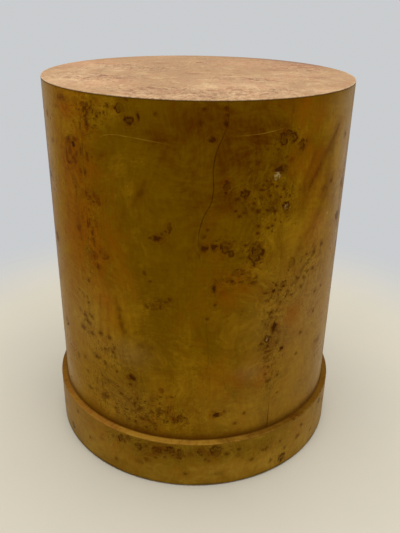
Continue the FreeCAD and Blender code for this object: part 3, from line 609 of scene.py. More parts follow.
def burl_lacquer(name, olive, honey, russet, gold, pale, knot_brown, red_brown, worn_pale):
    """Burl veneer: drifting figure, flames, pepper, knots and scratches. Returns what the lacquer needs."""
    finish, shader = new_finish(name)
    sheet = layer(finish, "UVMap", uv_map="sheet").outputs[0]
    patches = {}
    for patch in (*burl_tones, "from_edge"):
        patches[patch] = layer(finish, "Attribute", attribute_name=patch).outputs["Fac"]

    # The figure: the place on the sheet is pushed about, so that fibres and clouds swirl
    figure = swirled(finish, sheet, sheet, swirl_scale, 1.0, swirl_reach)
    drift = flat_cloud(finish, figure, drift_scale)
    blotch = flat_cloud(finish, stretched(finish, figure, blotch_scales), 1.0, 3.0, 0.55)
    mottle = flat_cloud(finish, figure, mottle_scale, 3.0, 0.55)
    fibre = flat_cloud(finish, stretched(finish, figure, fibre_scales), 1.0)
    cross = flat_cloud(finish, stretched(finish, figure, cross_scales), 1.0)
    grain = flat_cloud(finish, sheet, grain_scale, 2.0, 0.6)

    # Wood tone from olive to honey, then gold and pale curls, then rust-brown flames, then light and dark
    share = mixed(finish, patches["honey"], (drift, 0.28), (blotch, -0.45), (mottle, -0.25))
    wood = tint(finish, ease(finish, share, -0.33, 0.31), olive, honey)
    glow = flat_cloud(finish, figure, glow_scale, 3.0, 0.55)
    light = mixed(finish, patches["gold"], (glow, 0.8), (cross, 0.10), (mottle, 0.14))
    wood = tint(finish, ease(finish, light, 0.47, 1.22, 0.0, 0.9), wood, gold)
    curl = thin_lines(finish, flat_cloud(finish, figure, curl_scale), 0.5, 0.05)
    curl = times(finish, curl, ease(finish, blotch, 0.40, 0.58, 0.0, 0.32), ease(finish, light, 0.40, 0.75))
    wood = tint(finish, curl, wood, gold)
    # Painted sheen: a pale painted reflection laid over the wood where its patches ask for it.
    wood = tint(finish, patches["painted_sheen"], wood, pale)
    flame = times(finish, patches["rust"], ease(finish, fibre, 0.35, 0.65, 0.72, 1.12))
    wood = tint(finish, flame, wood, russet)
    shade = mixed(finish, 0.51, (fibre, 0.20), (mottle, 0.28), (cross, 0.14), (grain, 0.12), (blotch, 0.24))
    shade = calc(finish, "ADD", shade, ease(finish, light, -0.08, 0.47, -0.38, 0.0))
    lively = calc(finish, "MULTIPLY_ADD", patches["pepper"], 0.9, 1.0)
    shade = times(finish, calc(finish, "SUBTRACT", shade, 1.0), lively)
    wood = warm_shade(finish, wood, shade)

    # Pepper: short curly strokes, smudges and ragged specks of three sizes, where the patches ask for them
    ragged = swirled(finish, figure, sheet, ragged_scale, 1.0, ragged_reach)
    crowded = calc(finish, "MULTIPLY_ADD", patches["pepper"], 0.8, blotch)
    stroke = thin_lines(finish, flat_cloud(finish, ragged, stroke_scale, 1.0), 0.5, 0.045)
    stroke = times(finish, stroke, ease(finish, crowded, 0.75, 1.25, 0.0, 0.55))
    stroke = times(finish, stroke, ease(finish, mottle, 0.40, 0.58))
    wood = tint(finish, stroke, wood, red_brown)
    glint = thin_lines(finish, flat_cloud(finish, ragged, glint_scale, 1.0), 0.54, 0.040)
    glint = times(finish, glint, ease(finish, crowded, 0.70, 1.2, 0.0, 0.5))
    wood = tint(finish, glint, wood, gold)
    smudge = flat_cloud(finish, stretched(finish, ragged, smudge_scales), 1.0, 1.0)
    smudge_where = ease(finish, patches["pepper"], 0.1, 0.8, 0.0, 0.50)
    smudge = times(finish, ease(finish, smudge, 0.56, 0.70), smudge_where)
    wood = tint(finish, smudge, wood, knot_brown)
    for scale, size, rarity in speck_kinds:
        speck = layer(finish, "TexVoronoi", {"Vector": ragged, "Scale": scale}, voronoi_dimensions="2D")
        chance = layer(finish, "SeparateColor", {0: speck.outputs["Color"]}).outputs
        wanted = mixed(finish, chance[0], (patches["pepper"], 0.62), (blotch, 0.3))
        spot = ease(finish, speck.outputs["Distance"], size, size * 0.2)
        spot = times(finish, spot, ease(finish, wanted, rarity, rarity + 0.2))
        spot = times(finish, spot, ease(finish, chance[1], 0.0, 1.0, 0.20, 0.66))
        wood = tint(finish, spot, wood, knot_brown)

    # Knots: a warped distance from the nearest knot gives its body, or a broken ring, and the halo round it
    knot = layer(finish, "UVMap", uv_map="knot").outputs[0]
    knot = swirled(finish, knot, sheet, wobble_scale, 2.0, wobble_reach)
    reach = layer(finish, "VectorMath", {0: knot}, operation="LENGTH").outputs["Value"]
    make = layer(finish, "Attribute", attribute_name="knot_make").outputs["Vector"]
    depth, heart, redness = layer(finish, "SeparateXYZ", {0: make}).outputs
    line_place = calc(finish, "MULTIPLY_ADD", reach, 7.0, times(finish, mottle, 5.0))
    lines = times(finish, calc(finish, "SINE", line_place), ease(finish, reach, 3.4, 1.1, 0.0, 0.16))
    wood = warm_shade(finish, wood, times(finish, lines, ease(finish, depth, 0.2, 1.0)))
    body = ease(finish, reach, 1.18, 0.50)
    rim_off = calc(finish, "ABSOLUTE", calc(finish, "SUBTRACT", reach, 0.85))
    one_side = flat_cloud(finish, sheet, rim_break_scale, 1.0)
    rim = times(finish, ease(finish, rim_off, 0.38, 0.06), ease(finish, one_side, 0.36, 0.58, 0.35, 1.2))
    rim = calc(finish, "MAXIMUM", rim, times(finish, body, 0.46))
    core = times(finish, ease(finish, reach, 0.44, 0.16), ease(finish, one_side, 0.56, 0.42, 0.0, 0.9))
    rim = calc(finish, "MAXIMUM", rim, times(finish, core, ease(finish, heart, 0.95, 0.7)))
    ringed = ease(finish, heart, 0.3, 0.6)
    mark = calc(finish, "MULTIPLY_ADD", ringed, calc(finish, "SUBTRACT", rim, body), body)
    mark = times(finish, mark, ease(finish, grain, 0.35, 0.6, 0.75, 1.0))
    dark = calc(finish, "MINIMUM", times(finish, mark, depth), 0.95)
    halo = times(finish, ease(finish, reach, 2.6, 0.8), ease(finish, cross, 0.35, 0.65, 0.05, 0.50), depth)
    wood = tint(finish, halo, wood, russet)
    wood = tint(finish, dark, wood, tint(finish, redness, knot_brown, red_brown))
    putty_size = calc(finish, "MAXIMUM", heart, 0.5)
    putty = ease(finish, calc(finish, "DIVIDE", reach, putty_size), 0.62, 0.2)
    putty = times(finish, putty, ease(finish, heart, 0.8, 1.0, 0.0, 0.8))
    crumbs = flat_cloud(finish, sheet, putty_crumb_scale, 1.0)
    putty = times(finish, putty, ease(finish, crumbs, 0.42, 0.56, 0.12, 1.0))
    wood = tint(finish, putty, wood, worn_pale)

    # Scratches through the lacquer
    scratch_place = layer(finish, "UVMap", uv_map="scratch").outputs[0]
    scratch = layer(finish, "SeparateXYZ", {0: scratch_place}).outputs
    broken = ease(finish, flat_cloud(finish, sheet, scratch_break_scale), 0.35, 0.6, 0.25, 0.60)
    broken = times(finish, broken, ease(finish, scratch[1], 0.0, 40.0))
    scored = times(finish, ease(finish, calc(finish, "ABSOLUTE", scratch[0]), 0.75, 0.2), broken)
    wood = tint(finish, scored, wood, scratch_pale)
    return SimpleNamespace(
        finish=finish, shader=shader, wood=wood, sheet=sheet, mottle=mottle, fibre=fibre, dark=dark,
        scored=scored, from_edge=patches["from_edge"],
    )


def stain(burl, share, colour):
    """Lays a stain on the burl's wood by share."""
    burl.wood = tint(burl.finish, share, burl.wood, colour)


def lay_lacquer(burl, roughness, amber, index):
    """Lays the colour, and the amber lacquer's gloss and relief, on the burl's shader."""
    haze_scale = 30.0
    peel_scale = 420.0
    relief = 0.00008
    finish, shader = burl.finish, burl.shader
    haze = flat_cloud(finish, burl.sheet, haze_scale, 3.0)
    rough = ease(finish, haze, 0.3, 0.7, roughness - 0.05, roughness + 0.06)
    rough = mixed(finish, rough, (burl.scored, 0.25))
    rough = calc(finish, "ADD", rough, ease(finish, burl.mottle, 0.3, 0.7, 0.0, 0.05))
    orange_peel = flat_cloud(finish, burl.sheet, peel_scale)
    height = calc(finish, "MULTIPLY_ADD", orange_peel, 0.4, times(finish, burl.fibre, 0.6))
    height = calc(finish, "SUBTRACT", height, times(finish, burl.dark, 0.8))
    height = calc(finish, "SUBTRACT", height, times(finish, burl.scored, 1.2))
    lay_surface(finish, shader, burl.wood, rough, height, relief)
    shader.inputs["IOR"].default_value = index
    shader.inputs["Specular Tint"].default_value = amber


def soft_ends(share):
    """A share from 0 to 1 that starts and ends softly."""
    return share**2 * (3 - 2 * share)


def split_closing(height):
    """How far the split has closed at that height: 0 is open and 1 is shut."""
    low = np.clip((split_shut_below - height) / split_shut_over, 0.0, 1.0)
    high = np.clip((height - split_narrow_above) / split_narrow_over, 0.0, 1.0)
    trace = np.exp(-(((height - split_trace_height) / split_trace_half) ** 2))
    return soft_ends(low) + split_narrow_share * soft_ends(high) - split_trace_share * trace


def split_across(height):
    """How far the split stands to the right of the middle at that height, as a smooth curve."""
    rise = (height - leaf_low[2]) / (leaf_high[2] - leaf_low[2])
    rises = np.array([pair[0] for pair in split_run])
    sways = np.array([pair[1] for pair in split_run])
    slopes = np.gradient(sways, rises)
    span = np.clip(np.searchsorted(rises, rise) - 1, 0, len(rises) - 2)
    width = rises[span + 1] - rises[span]
    way = (rise - rises[span]) / width
    first = (2 * way**3 - 3 * way**2 + 1) * sways[span]
    first += (way**3 - 2 * way**2 + way) * width * slopes[span]
    second = (3 * way**2 - 2 * way**3) * sways[span + 1]
    second += (way**3 - way**2) * width * slopes[span + 1]
    return split_reach * (first + second)


def split_round(height, aside=0.0):
    """The same place, or one that far beside it, measured round the drum from the middle of the front."""
    return drum_radius * np.arcsin((split_across(height) + aside) / drum_radius)


def seam_shut(side, height):
    """How little a butt joint shows at that height, in millimetres."""
    opened = np.zeros(len(height))
    if abs(side) == -left_seam:
        for middle, half_height in left_seam_gaps:
            opened += np.exp(-(((height - middle) / half_height) ** 2))
    elif abs(side) == right_seam:
        opened = right_seam_open * np.clip((right_seam_top - height) / right_seam_fade, 0.0, 1.0)
    return seam_hidden - seam_opening * opened


def flat_sheet(name, start, end, low, high, cell):
    """A veneer sheet as cut, upright and flat, with its good face to the front."""
    across = max(2, math.ceil((end - start) / cell))
    up = max(2, math.ceil((high - low) / cell))
    middle = ((start + end) / 2, 0.0, (low + high) / 2)
    bpy.ops.object.select_all(action="DESELECT")
    bpy.ops.mesh.primitive_grid_add(x_subdivisions=across, y_subdivisions=up, size=1.0, location=middle)
    sheet = bpy.context.object
    sheet.name = name
    sheet.rotation_euler = (math.pi / 2, 0.0, 0.0)
    sheet.scale = (end - start, high - low, 1.0)
    bpy.ops.object.transform_apply(location=True, rotation=True, scale=True)
    return sheet


def points_of(piece):
    """All points of a piece as rows of x, y and z in metres."""
    points = np.empty(len(piece.data.vertices) * 3, dtype=np.float32)
    piece.data.vertices.foreach_get("co", points)
    return points.reshape(-1, 3).astype(float)


def bend_round(sheet, radius, thickness):
    """Gives a flat sheet its thickness and bends it round the drum's axis."""
    wall = sheet.modifiers.new("thickness", "SOLIDIFY")
    wall.thickness = thickness
    wall.offset = -1.0
    bpy.ops.object.modifier_apply(modifier=wall.name)
    across = points_of(sheet)[:, 0]
    bend = sheet.modifiers.new("bend", "SIMPLE_DEFORM")
    bend.deform_method = "BEND"
    bend.deform_axis = "Z"
    bend.angle = (across.max() - across.min()) / radius
    bpy.ops.object.modifier_apply(modifier=bend.name)
    sheet.location = (0.0, -radius, 0.0)
    bpy.ops.object.transform_apply(location=True, rotation=False, scale=False)
    bpy.ops.object.shade_smooth_by_angle(angle=smooth_angle)


drum_olive = (0.160, 0.0752, 0.0005, 1.0)
drum_honey_brown = (0.282, 0.0885, 0.0005, 1.0)
drum_russet = (0.118, 0.032, 0.0003, 1.0)
drum_gold_brown = (0.308, 0.152, 0.0040, 1.0)
# The colour of the painted sheen, a pale painted reflection.
drum_sheen_colour = (0.460, 0.305, 0.135, 1.0)
drum_knot_brown = (0.046, 0.0135, 0.0010, 1.0)
drum_red_brown = (0.110, 0.024, 0.0004, 1.0)
drum_wear = (0.37, 0.265, 0.105, 1.0)
drum_amber = (1.0, 0.60, 0.08, 1.0)
drum_roughness = 0.30
drum_index = 1.055
seam_stain = (0.030, 0.0105, 0.0005, 1.0)
# Painted shade in the corner where the drum meets the ledge, as a dark band at the drum's foot.
drum_foot_shade = (0.090, 0.024, 0.001, 1.0)
foot_shade_top = 0.0850
foot_shade_full = 0.0730
glue_line = (0.075, 0.036, 0.002, 1.0)
glue_line_foot = leaf_high[2] - 0.0020
glue_line_full = leaf_high[2] - 0.0007

drum_burl = burl_lacquer(
    "burl_drum_lacquer", drum_olive, drum_honey_brown, drum_russet, drum_gold_brown, drum_sheen_colour,
    drum_knot_brown, drum_red_brown, drum_wear,
)
drum_paint = drum_burl.finish
drum_up = layer(drum_paint, "SeparateXYZ", {0: own_place(drum_paint)}).outputs[2]
stain(drum_burl, ease(drum_paint, drum_burl.from_edge, 0.9, 0.25, 0.0, 0.75), seam_stain)
# Painted shade at the foot of the drum, just above the ledge.
stain(drum_burl, ease(drum_paint, drum_up, foot_shade_top, foot_shade_full, 0.0, 0.62), drum_foot_shade)
stain(drum_burl, ease(drum_paint, drum_up, glue_line_foot, glue_line_full, 0.0, 0.6), glue_line)
lay_lacquer(drum_burl, drum_roughness, drum_amber, drum_index)

drum_knots = knots_of(
    drum_degree, black=drum_black_knots, dark=drum_dark_knots, ring=drum_ring_knots, hollow=drum_open_knots,
    filled=drum_filled_knots, faint=drum_faint_knots, red=drum_red_knots, soft=drum_soft_rings,
    deep=drum_deep_knots,
)
drum_patches = (drum_honey, drum_flames, drum_gold_and_painted_light, drum_pepper, drum_painted_sheen)
drum_lines = [[(angle * drum_degree, height) for angle, height in line] for line in drum_scratches]

# Each sheet by name, the solid it stands for, its two angles, and where in the flitch it was cut.
drum_sheets = [
    ("burl_front_left_side", "drum_veneer_front_left", -90.0, left_seam, (0.0, 0.0)),
    ("burl_front_left_middle", "drum_veneer_front_left", left_seam, 0.0, (3.1, 1.7)),
    ("burl_front_right_middle", "drum_veneer_front_right", 0.0, right_seam, (3.1, 1.7)),
    ("burl_front_right_side", "drum_veneer_front_right", right_seam, 90.0, (1.6, 5.3)),
    ("burl_rear_right_side", "drum_veneer_rear_right", 90.0, 180.0 + left_seam, (0.4, 6.2)),
    ("burl_rear_right_middle", "drum_veneer_rear_right", 180.0 + left_seam, 180.0, (4.5, 3.8)),
    ("burl_rear_left_middle", "drum_veneer_rear_left", -180.0, right_seam - 180.0, (4.5, 3.8)),
    ("burl_rear_left_side", "drum_veneer_rear_left", right_seam - 180.0, -90.0, (2.2, 7.1)),
]
for name, node, from_angle, to_angle, shift in drum_sheets:
    start = drum_radius * math.radians(from_angle) + butt_gap / 2
    end = drum_radius * math.radians(to_angle) - butt_gap / 2
    leaf = flat_sheet(name, start, end, leaf_low[2], leaf_high[2], leaf_cell)
    points = points_of(leaf)
    height = points[:, 2]
    if to_angle == 0.0:
        cut = split_round(height)
        points[:, 0] = start + (points[:, 0] - start) / (end - start) * (cut - start)
    elif from_angle == 0.0:
        cut = split_round(height, split_gap - (split_gap - split_closed) * split_closing(height))
        points[:, 0] = cut + (points[:, 0] - start) / (end - start) * (end - cut)
    leaf.data.vertices.foreach_set("co", points.astype(np.float32).ravel())
    leaf.data.update()
    bend_round(leaf, drum_radius, veneer_thickness)

    points = points_of(leaf)
    height = points[:, 2]
    angle = np.arctan2(points[:, 0], -points[:, 1])
    around = 1000 * drum_radius * angle
    edge = np.full(len(points), off_edge)
    for side, place in ((from_angle, start), (to_angle, end)):
        off_side = np.abs(around - 1000 * place) + seam_shut(side, height)
        if side == 0.0:
            off_side = split_stain_start + split_stain_beside * np.abs(around - 1000 * split_round(height))
            off_side += split_stain_closed * split_closing(height)
        edge = np.minimum(edge, off_side)
    middle_angle = (from_angle + to_angle) / 2
    if abs(middle_angle) > 90.0:
        around = 1000 * drum_radius * (angle - np.sign(middle_angle) * math.pi)
        height = leaf_shows_from + leaf_high[2] - height
    flat = np.stack([around, 1000 * height], 1)
    tones = [soft_sum(flat, spots, drum_degree) for spots in drum_patches]
    tones[burl_tones.index("rust")] += streak_sum(flat, drum_streaks, drum_degree)
    if name.endswith("left_middle"):
        tones[burl_tones.index("honey")] += soft_sum(flat, seam_honey, drum_degree)
    lines = drum_lines if node.startswith("drum_veneer_front") else ()
    write_burl(leaf, flat, shift, drum_knots, tones, edge, lines)
    leaf.data.materials.append(drum_paint)
    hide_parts(node)
    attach(leaf, "root")

# Top veneer: one round burl leaf glued over the top panel and over the drum leaves' edges.
# It was trimmed flush with the side and its edge eased. The edge is pale: the lacquer has rubbed, and a
# painted highlight lies on it.
top_low, top_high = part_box("top_veneer")
top_radius = top_high[0]
top_edge_round = 0.0004
top_sides = 288
top_ring = 0.005

# Knots and patches as on the drum, but by millimetres to the right of the middle and to the rear of it.
top_unit = 1.0
top_dark_knots = [
    (-122, -52, 4.3, 3.7), (-112, -60, 3.1, 3.1), (-95, -66, 3.7, 3.7), (-135, -70, 3.1, 2.5),
    (-104, -46, 2.5, 2.5), (-88, -74, 2.5, 2.5), (-60, -140, 3.1, 3.1), (-42, -139, 2.5, 3.7),
    (-70, -150, 2.5, 2.5), (-30, -165, 3.1, 2.5), (-8, -178, 2.5, 2.5), (18, -172, 2.5, 1.9),
    (48, -138, 3.1, 2.5), (58, -146, 3.1, 3.1), (70, -58, 3.7, 3.7), (84, -50, 2.5, 2.5),
    (96, -62, 2.5, 2.5), (60, -44, 2.5, 1.9), (112, -84, 2.5, 2.5), (30, -92, 2.5, 2.5),
    (-150, 20, 3.1, 3.1), (-110, 52, 3.7, 3.7), (-64, 34, 3.1, 3.7), (-54, 22, 2.5, 2.5),
    (152, 42, 3.7, 3.1), (140, 60, 2.5, 2.5), (106, 118, 4.3, 3.1), (92, 104, 2.5, 2.5),
    (128, 132, 3.7, 3.1), (-90, 118, 3.1, 2.5), (-20, 60, 2.5, 2.5), (12, 20, 2.5, 2.5),
    (40, -20, 2.5, 2.5), (-30, -60, 2.5, 2.5), (130, -20, 3.1, 3.1), (-160, -60, 3.1, 3.1),
    (160, -66, 2.5, 2.5), (-20, 150, 2.5, 2.5), (40, 132, 3.1, 2.5), (80, 160, 3.1, 2.5),
]
top_ring_knots = [
    (-118, -40, 5, 5), (64, -52, 4, 4), (-52, -128, 4, 4), (120, 60, 4, 4), (-100, 66, 4, 4),
    (0, 108, 4, 4),
]
top_faint_knots = [
    (-10, -10, 14, 10), (100, 40, 16, 14), (-140, 80, 14, 12), (150, -30, 12, 10), (20, -140, 12, 8),
    (-60, 90, 14, 12),
]
top_red_knots = [(140, 96, 10, 6), (158, 70, 8, 6)]
top_honey = [
    (-160, 80, 40, 30, 0.3), (-120, -90, 40, 30, 0.25), (60, 110, 60, 40, 0.2), (0, 40, 60, 50, -0.1),
    (120, 0, 40, 40, 0.12), (60, -120, 50, 40, 0.1), (30, 160, 60, 30, -0.15),
]
top_flames = [
    (140, 90, 30, 12, 0.25), (160, 110, 20, 16, 0.3), (-170, 30, 12, 30, 0.08), (90, 150, 40, 14, 0.2),
]
top_gold = [
    (0, -170, 160, 40, 0.2), (-150, -60, 40, 60, 0.3), (-130, 40, 50, 40, 0.2), (60, -90, 60, 50, 0.2),
    (150, 0, 50, 60, 0.1),
]
top_pepper = [
    (-108, -56, 40, 26, 1.0), (-45, -148, 50, 30, 1.1), (72, -54, 40, 24, 0.9), (70, -140, 40, 26, 1.0),
    (140, 55, 34, 40, 0.8), (0, -182, 50, 16, 1.0), (-105, 58, 34, 30, 0.7), (-58, 30, 24, 30, 0.6),
    (110, 118, 44, 26, 0.8), (0, 110, 40, 30, 0.5), (-150, -20, 20, 60, 0.6),
]

# The leaf is drawn out from its lower rim: up the side, round the eased edge and in by rings to the middle.
top_shape = []
for turn in (0.0, math.pi / 6, math.pi / 3, math.pi / 2):
    out = top_radius - top_edge_round * (1 - math.cos(turn))
    up = top_high[2] - top_edge_round * (1 - math.sin(turn))
    top_shape.append((out, up))
for ring in range(int(top_radius / top_ring) - 1, 0, -1):
    top_shape.append((ring * top_ring, top_high[2]))
bpy.ops.object.select_all(action="DESELECT")
bpy.ops.mesh.primitive_circle_add(vertices=top_sides, radius=top_radius, fill_type="NGON")
top_leaf = bpy.context.object
top_leaf.name = "burl_top_veneer"
top_leaf.location = (0.0, 0.0, top_low[2])
bpy.ops.object.transform_apply(location=True, rotation=False, scale=False)
reached, lifted = top_radius, top_low[2]
bpy.ops.object.mode_set(mode="EDIT")
bpy.ops.mesh.select_all(action="SELECT")
for radius, height in top_shape:
    bpy.ops.mesh.extrude_region_move(TRANSFORM_OT_translate={"value": (0.0, 0.0, height - lifted)})
    share = radius / reached
    bpy.ops.transform.resize(value=(share, share, 1.0), center_override=(0.0, 0.0, height))
    reached, lifted = radius, height
bpy.ops.mesh.merge(type="CENTER")
bpy.ops.mesh.select_all(action="DESELECT")
bpy.ops.mesh.select_non_manifold()
bpy.ops.mesh.edge_face_add()
bpy.ops.mesh.select_all(action="SELECT")
bpy.ops.mesh.normals_make_consistent(inside=False)
bpy.ops.object.mode_set(mode="OBJECT")
bpy.ops.object.shade_smooth_by_angle(angle=smooth_angle)


def rub_and_highlight_edge(burl, least, most, colour):
    """Pales a sheet's edge in patches from least to most: lacquer rubbed off, and a painted highlight of the
    eased edge.
    """
    patchy = ease(burl.finish, burl.mottle, 0.35, 0.6, least, most)
    stain(burl, times(burl.finish, ease(burl.finish, burl.from_edge, 1.6, 0.2), patchy), colour)


# The top's colours are a paler, greyer copy of the drum's burl: painted sheen, for the pale backdrop
# reflected across the lacquer.
top_olive = (0.305, 0.180, 0.088, 1.0)
top_honey_brown = (0.420, 0.226, 0.118, 1.0)
top_russet = (0.300, 0.120, 0.060, 1.0)
top_gold_brown = (0.530, 0.358, 0.206, 1.0)
top_sheen_colour = (0.60, 0.44, 0.27, 1.0)
top_knot_brown = (0.150, 0.075, 0.036, 1.0)
top_red_brown = (0.250, 0.095, 0.050, 1.0)
top_wear_and_highlight = (0.62, 0.46, 0.29, 1.0)
top_amber = (1.0, 0.85, 0.70, 1.0)
top_roughness = 0.42
top_index = 1.08
top_rim_brown = (0.185, 0.098, 0.066, 1.0)
top_cut = (7.3, 4.1)

top_burl = burl_lacquer(
    "burl_top_lacquer", top_olive, top_honey_brown, top_russet, top_gold_brown, top_sheen_colour, top_knot_brown,
    top_red_brown, top_wear_and_highlight,
)
top_paint = top_burl.finish
# The rim is paler: worn lacquer, and a painted highlight of the eased edge.
rub_and_highlight_edge(top_burl, 0.1, 0.45, top_wear_and_highlight)

# The top is darker brown along the rim at the rear, most of all on the right
top_axes = layer(top_paint, "SeparateXYZ", {0: own_place(top_paint)}).outputs
rear_rim_dark = ease(top_paint, top_burl.from_edge, 22.0, 5.0, 0.0, 0.75)
rear_rim_dark = times(top_paint, rear_rim_dark, ease(top_paint, top_axes[1], 0.05, 0.11))
rear_rim_dark = times(top_paint, rear_rim_dark, ease(top_paint, top_axes[0], 0.01, 0.12, 0.2, 1.0))
stain(top_burl, rear_rim_dark, top_rim_brown)
lay_lacquer(top_burl, top_roughness, top_amber, top_index)

points = points_of(top_leaf)
flat = 1000 * points[:, :2]
edge = 1000 * top_radius - np.hypot(flat[:, 0], flat[:, 1]) + 1000 * (top_high[2] - points[:, 2])
top_patches = (top_honey, top_flames, top_gold, top_pepper, ())
tones = [soft_sum(flat, spots, top_unit) for spots in top_patches]
top_knots = knots_of(
    top_unit, dark=top_dark_knots, ring=top_ring_knots, faint=top_faint_knots, red=top_red_knots
)
write_burl(top_leaf, flat, top_cut, top_knots, tones, edge)
top_leaf.data.materials.append(top_paint)
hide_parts("top_veneer")
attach(top_leaf, "root")

# Plinth veneer: two burl strips bent round the band at the foot, butted at the sides.
# The foot is darker along the floor, in a ragged band, and scuffed.
strip_low, strip_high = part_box("plinth_veneer_front")
plinth_radius = -strip_low[1]
plinth_degree = 1000 * plinth_radius * math.pi / 180
strip_half = plinth_radius * math.pi / 2 - butt_gap / 2
plinth_dark_knots = [
    (-28, 62, 2.5, 2), (-26, 57, 2.5, 2.5), (-20.5, 57, 2.5, 2.5), (-12.5, 55, 3, 3),
    (-13.5, 44, 2.5, 2.5), (-7, 52, 3, 3), (-2.5, 22, 4, 4), (12.5, 53, 4, 4), (17, 57, 4, 3.5),
    (4.8, 46, 2.5, 2.5), (22.5, 34, 4, 3), (28.5, 44, 4, 3.5), (27.2, 44, 2.5, 2.5), (35, 47, 2, 2),
    (37.8, 29.5, 3, 3), (2.5, 64, 3, 2.5), (3, 55, 2.5, 2.5), (-44, 30, 3, 3), (-52, 58, 4, 3),
    (47, 52, 3, 3), (55, 24, 4, 3), (-66, 40, 5, 4), (68, 48, 5, 4), (-80, 22, 4, 3), (80, 30, 4, 4),
    (-17, 60, 3, 2.5), (-10, 47, 2.5, 2.5), (31, 20, 3, 3), (-30, 20, 3, 3),
]
plinth_ring_knots = [
    (8.5, 61, 8, 7.5), (-4.5, 55, 5, 7), (-13, 56, 7, 6), (-8, 60, 6, 5), (36.5, 15, 6, 6),
    (-27, 60, 5, 6), (-20, 57, 5, 5), (-58, 18, 5, 5), (62, 60, 5, 4), (2.5, 60, 3, 5), (-24.5, 65, 4, 4),
]
plinth_faint_knots = [(17, 47, 5, 4), (-37, 43, 5, 4), (-36.5, 50, 4, 3), (10, 20, 8, 4), (-20, 30, 8, 5)]
plinth_red_knots = [(-17, 37, 4, 4), (6, 44, 2.5, 2.5), (45, 36, 5, 4)]
plinth_honey = [
    (-40, 40, 60, 26, 0.2), (10, 30, 70, 20, 0.15), (45, 30, 50, 30, 0.2), (-8, 60, 60, 14, -0.2),
    (25, 60, 40, 12, -0.1), (-70, 40, 40, 30, 0.15), (75, 40, 40, 30, 0.15),
]
plinth_flames = [
    (-17, 37, 14, 10, 0.2), (6, 42, 16, 8, 0.15), (40, 40, 16, 12, 0.15), (-50, 30, 20, 12, 0.08),
]
plinth_gold = [
    (20, 20, 120, 20, 0.35), (-50, 30, 60, 30, 0.3), (55, 40, 60, 30, 0.35), (-10, 55, 60, 16, -0.3),
]
plinth_pepper = [
    (-15, 57, 50, 10, 0.5), (12, 57, 36, 10, 0.35), (28, 42, 24, 14, 0.4), (-30, 60, 20, 10, 0.4),
    (62, 45, 40, 24, 0.4),
]
# Painted sheen: a pale painted reflection along the plinth's sides.
plinth_painted_sheen = [(82, 36, 80, 80, 0.42), (-84, 36, 90, 80, 0.44)]
plinth_olive = (0.198, 0.105, 0.0055, 1.0)
plinth_honey_brown = (0.320, 0.128, 0.0065, 1.0)
plinth_russet = (0.150, 0.055, 0.0030, 1.0)
plinth_gold_brown = (0.365, 0.204, 0.0200, 1.0)
plinth_roughness = 0.34
plinth_index = 1.06
plinth_foot_brown = (0.050, 0.030, 0.009, 1.0)
plinth_scuff_scale = 26.0
plinth_cut = (5.2, 2.9)

plinth_burl = burl_lacquer(
    "burl_plinth_lacquer", plinth_olive, plinth_honey_brown, plinth_russet, plinth_gold_brown, drum_sheen_colour,
    drum_knot_brown, drum_red_brown, drum_wear,
)
plinth_paint = plinth_burl.finish
plinth_place = own_place(plinth_paint)
plinth_up = layer(plinth_paint, "SeparateXYZ", {0: plinth_place}).outputs[2]
scuff_cloud = cloud(plinth_paint, plinth_place, plinth_scuff_scale, 4.0, 0.6)
foot_band = calc(plinth_paint, "MULTIPLY_ADD", scuff_cloud, 0.010, plinth_up)
# Darker along the floor, in a ragged band.
stain(plinth_burl, ease(plinth_paint, foot_band, 0.011, 0.006, 0.0, 0.55), plinth_foot_brown)
stain(plinth_burl, ease(plinth_paint, scuff_cloud, 0.58, 0.72, 0.0, 0.25), plinth_gold_brown)
lay_lacquer(plinth_burl, plinth_roughness, drum_amber, plinth_index)

plinth_patches = (plinth_honey, plinth_flames, plinth_gold, plinth_pepper, plinth_painted_sheen)
plinth_knots = knots_of(
    plinth_degree, dark=plinth_dark_knots, ring=plinth_ring_knots, faint=plinth_faint_knots,
    red=plinth_red_knots,
)
for name, turn in (("plinth_veneer_front", 0.0), ("plinth_veneer_rear", math.pi)):
    strip = flat_sheet("burl_" + name, -strip_half, strip_half, strip_low[2], strip_high[2], leaf_cell)
    bend_round(strip, plinth_radius, veneer_thickness)
    strip.rotation_euler = (0.0, 0.0, turn)
    bpy.ops.object.transform_apply(location=False, rotation=True, scale=False)
    points = points_of(strip)
    angle = np.arctan2(points[:, 0], -points[:, 1])
    height = points[:, 2]
    if turn:
        angle = angle - np.sign(points[:, 0]) * math.pi
        height = strip_low[2] + strip_high[2] - height
    flat = np.stack([1000 * plinth_radius * angle, 1000 * height], 1)
    tones = [soft_sum(flat, spots, plinth_degree) for spots in plinth_patches]
    edge = 1000 * strip_half - np.abs(flat[:, 0])
    write_burl(strip, flat, plinth_cut, plinth_knots, tones, edge)
    strip.data.materials.append(plinth_paint)
    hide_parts(name)
    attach(strip, "root")

# Plinth lipping: the narrow ledge on top of the band, two solid strips glued down round the drum.
# Its outer edge was eased by hand and is pale, partly from rubbing and partly a painted highlight.
# Painted shade darkens the corner against the drum.
ledge_low, ledge_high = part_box("plinth_lipping_front")
ledge_inside = 0.20005
ledge_edge_round = 0.0008
ledge_edge_steps = 4
ledge_steps = 144
ledge_olive = (0.150, 0.068, 0.0050, 1.0)
ledge_honey_brown = (0.265, 0.108, 0.0140, 1.0)
ledge_gold_brown = (0.345, 0.178, 0.0180, 1.0)
